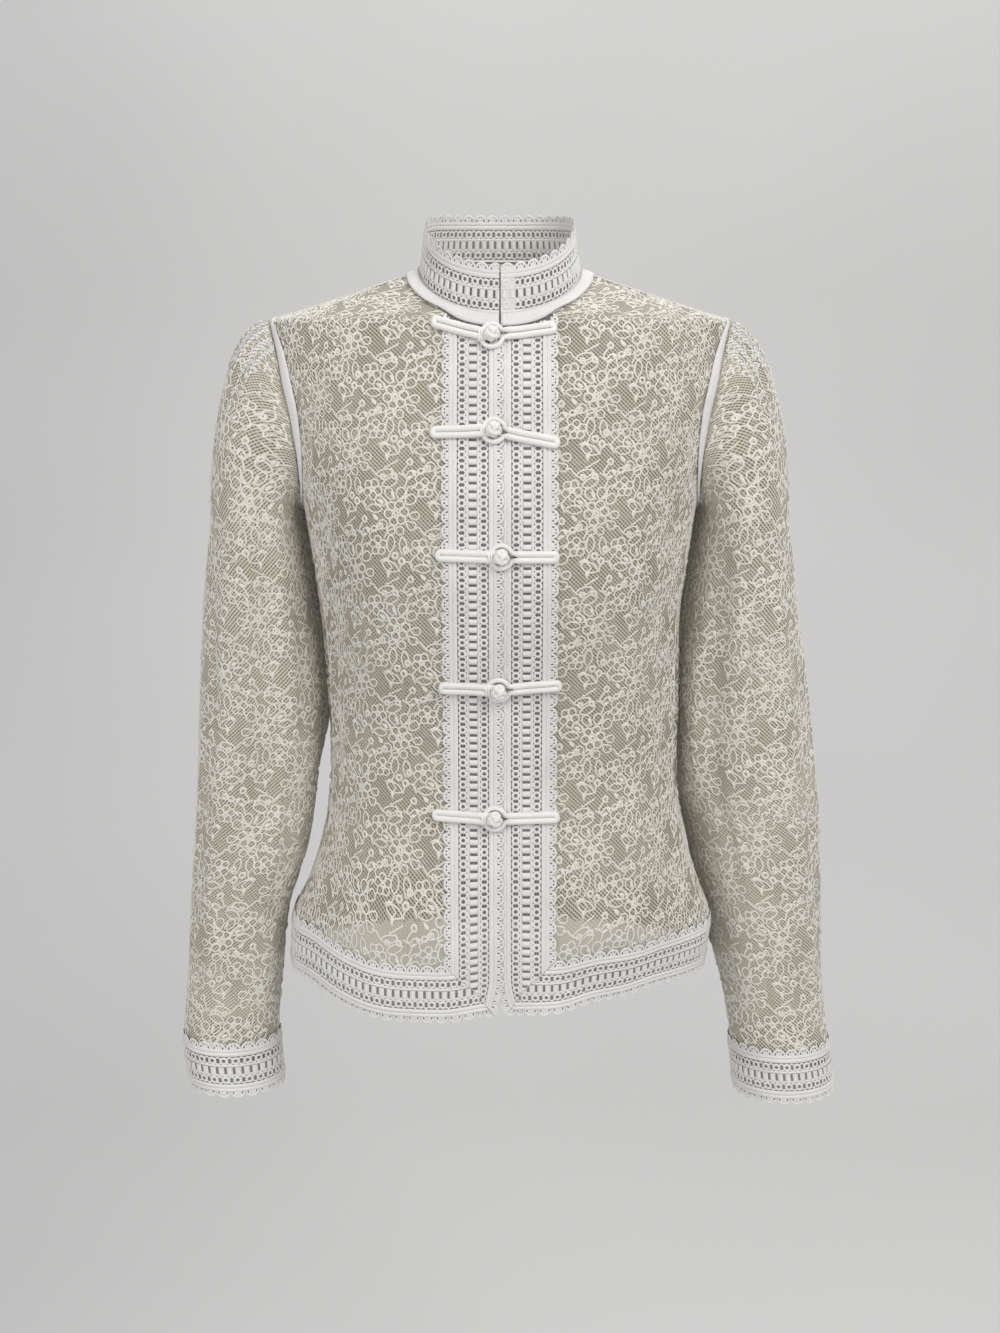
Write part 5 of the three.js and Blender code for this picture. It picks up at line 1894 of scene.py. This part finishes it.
# Each run of galloon: its cut length, and the cloth that it is laid on
GALLOON_CUTS = {
    "placket_left": (0.55, FRONTS["left"]), "placket_right": (0.55, FRONTS["right"]),
    "hem_front_left": (0.20, FRONTS["left"]), "hem_front_right": (0.20, FRONTS["right"]),
    "hem_back": (0.40, BACK),
    "cuff_left": (0.26, SLEEVE_SHEETS["left"]), "cuff_right": (0.22, SLEEVE_SHEETS["right"]),
}
for name, (length, carrier) in GALLOON_CUTS.items():
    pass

# %% [markdown]
# ## Stage and light
# The backdrop is a pale sweep far behind the shirt. Lace needs broad soft light, so that its
# cords read: a strong one from the front right, a weaker one from the front left, so that the
# folds turn, one from above and behind for the shoulders, and one for the sweep alone.

# %% Backdrop
SWEEP_FLOOR_Z = -1.45
SWEEP_BACK_Y = 3.2
SWEEP_FRONT_Y = -4.0
SWEEP_HALF_WIDTH = 7.0
SWEEP_TOP_Z = 5.0
SWEEP_BEND = 1.5
PAPER_DARK = (0.60, 0.595, 0.588)
PAPER_LIGHT = (0.655, 0.65, 0.642)


def add_backdrop():
    work = bmesh.new()
    sides = (-SWEEP_HALF_WIDTH, SWEEP_HALF_WIDTH)
    ends = [work.verts.new((x, SWEEP_FRONT_Y, SWEEP_FLOOR_Z)) for x in sides]
    edge = work.edges.new(ends)
    floor = bmesh.ops.extrude_edge_only(work, edges=[edge])
    moved = [part for part in floor["geom"] if isinstance(part, bmesh.types.BMVert)]
    bmesh.ops.translate(work, verts=moved, vec=(0, SWEEP_BACK_Y - SWEEP_BEND - SWEEP_FRONT_Y, 0))
    last = [part for part in floor["geom"] if isinstance(part, bmesh.types.BMEdge)]
    bend_z = SWEEP_FLOOR_Z + SWEEP_BEND
    bmesh.ops.spin(work, geom=last + moved, cent=(0, SWEEP_BACK_Y - SWEEP_BEND, bend_z),
                   axis=(1, 0, 0), angle=np.pi / 2, steps=24)
    top = [edge for edge in work.edges
           if edge.is_boundary and min(v.co.z for v in edge.verts) > bend_z - 0.01]
    wall = bmesh.ops.extrude_edge_only(work, edges=top)
    rising = [part for part in wall["geom"] if isinstance(part, bmesh.types.BMVert)]
    bmesh.ops.translate(work, verts=rising, vec=(0, 0, SWEEP_TOP_Z))
    bmesh.ops.recalc_face_normals(work, faces=work.faces)
    for face in work.faces:
        face.smooth = True
    mesh = bpy.data.meshes.new("backdrop")
    work.to_mesh(mesh)
    work.free()
    material, nodes, links, shader = new_material("paper")
    place = nodes.new("ShaderNodeTexCoord")
    tone = noise_node(nodes, links, place.outputs["Object"], 0.6)
    paper = ramp_node(nodes, links, tone, PAPER_DARK, PAPER_LIGHT)
    links.new(paper, shader.inputs["Base Color"])
    shader.inputs["Roughness"].default_value = 0.95
    mesh.materials.append(material)
    backdrop = bpy.data.objects.new("backdrop", mesh)
    bpy.context.scene.collection.objects.link(backdrop)


add_backdrop()

# %% Lights


def add_light(name, place, target, size, watts):
    lamp = bpy.data.lights.new(name, "AREA")
    lamp.shape = "RECTANGLE"
    lamp.size, lamp.size_y = size
    lamp.energy = watts
    holder = bpy.data.objects.new(name, lamp)
    holder.location = place
    holder.rotation_euler = (Vector(target) - Vector(place)).to_track_quat("-Z", "Y").to_euler()
    bpy.context.scene.collection.objects.link(holder)


SHIRT_MIDDLE = (0, 0, -0.3)
add_light("key", (1.5, -2.0, 1.5), SHIRT_MIDDLE, (1.4, 1.4), 46)
add_light("fill", (-2.0, -1.8, 0.5), SHIRT_MIDDLE, (1.8, 1.8), 22)
add_light("top", (0.3, 0.9, 2.2), SHIRT_MIDDLE, (1.6, 1.6), 24)
add_light("wall", (0.5, 1.2, 1.9), (0.5, 3.2, 0.2), (3.0, 1.0), 29)

world = bpy.data.worlds.new("studio")
world.use_nodes = True
world.node_tree.nodes["Background"].inputs["Color"].default_value = (0.9, 0.9, 0.915, 1)
world.node_tree.nodes["Background"].inputs["Strength"].default_value = 0.5
bpy.context.scene.world = world
bpy.context.scene.view_settings.view_transform = "Standard"
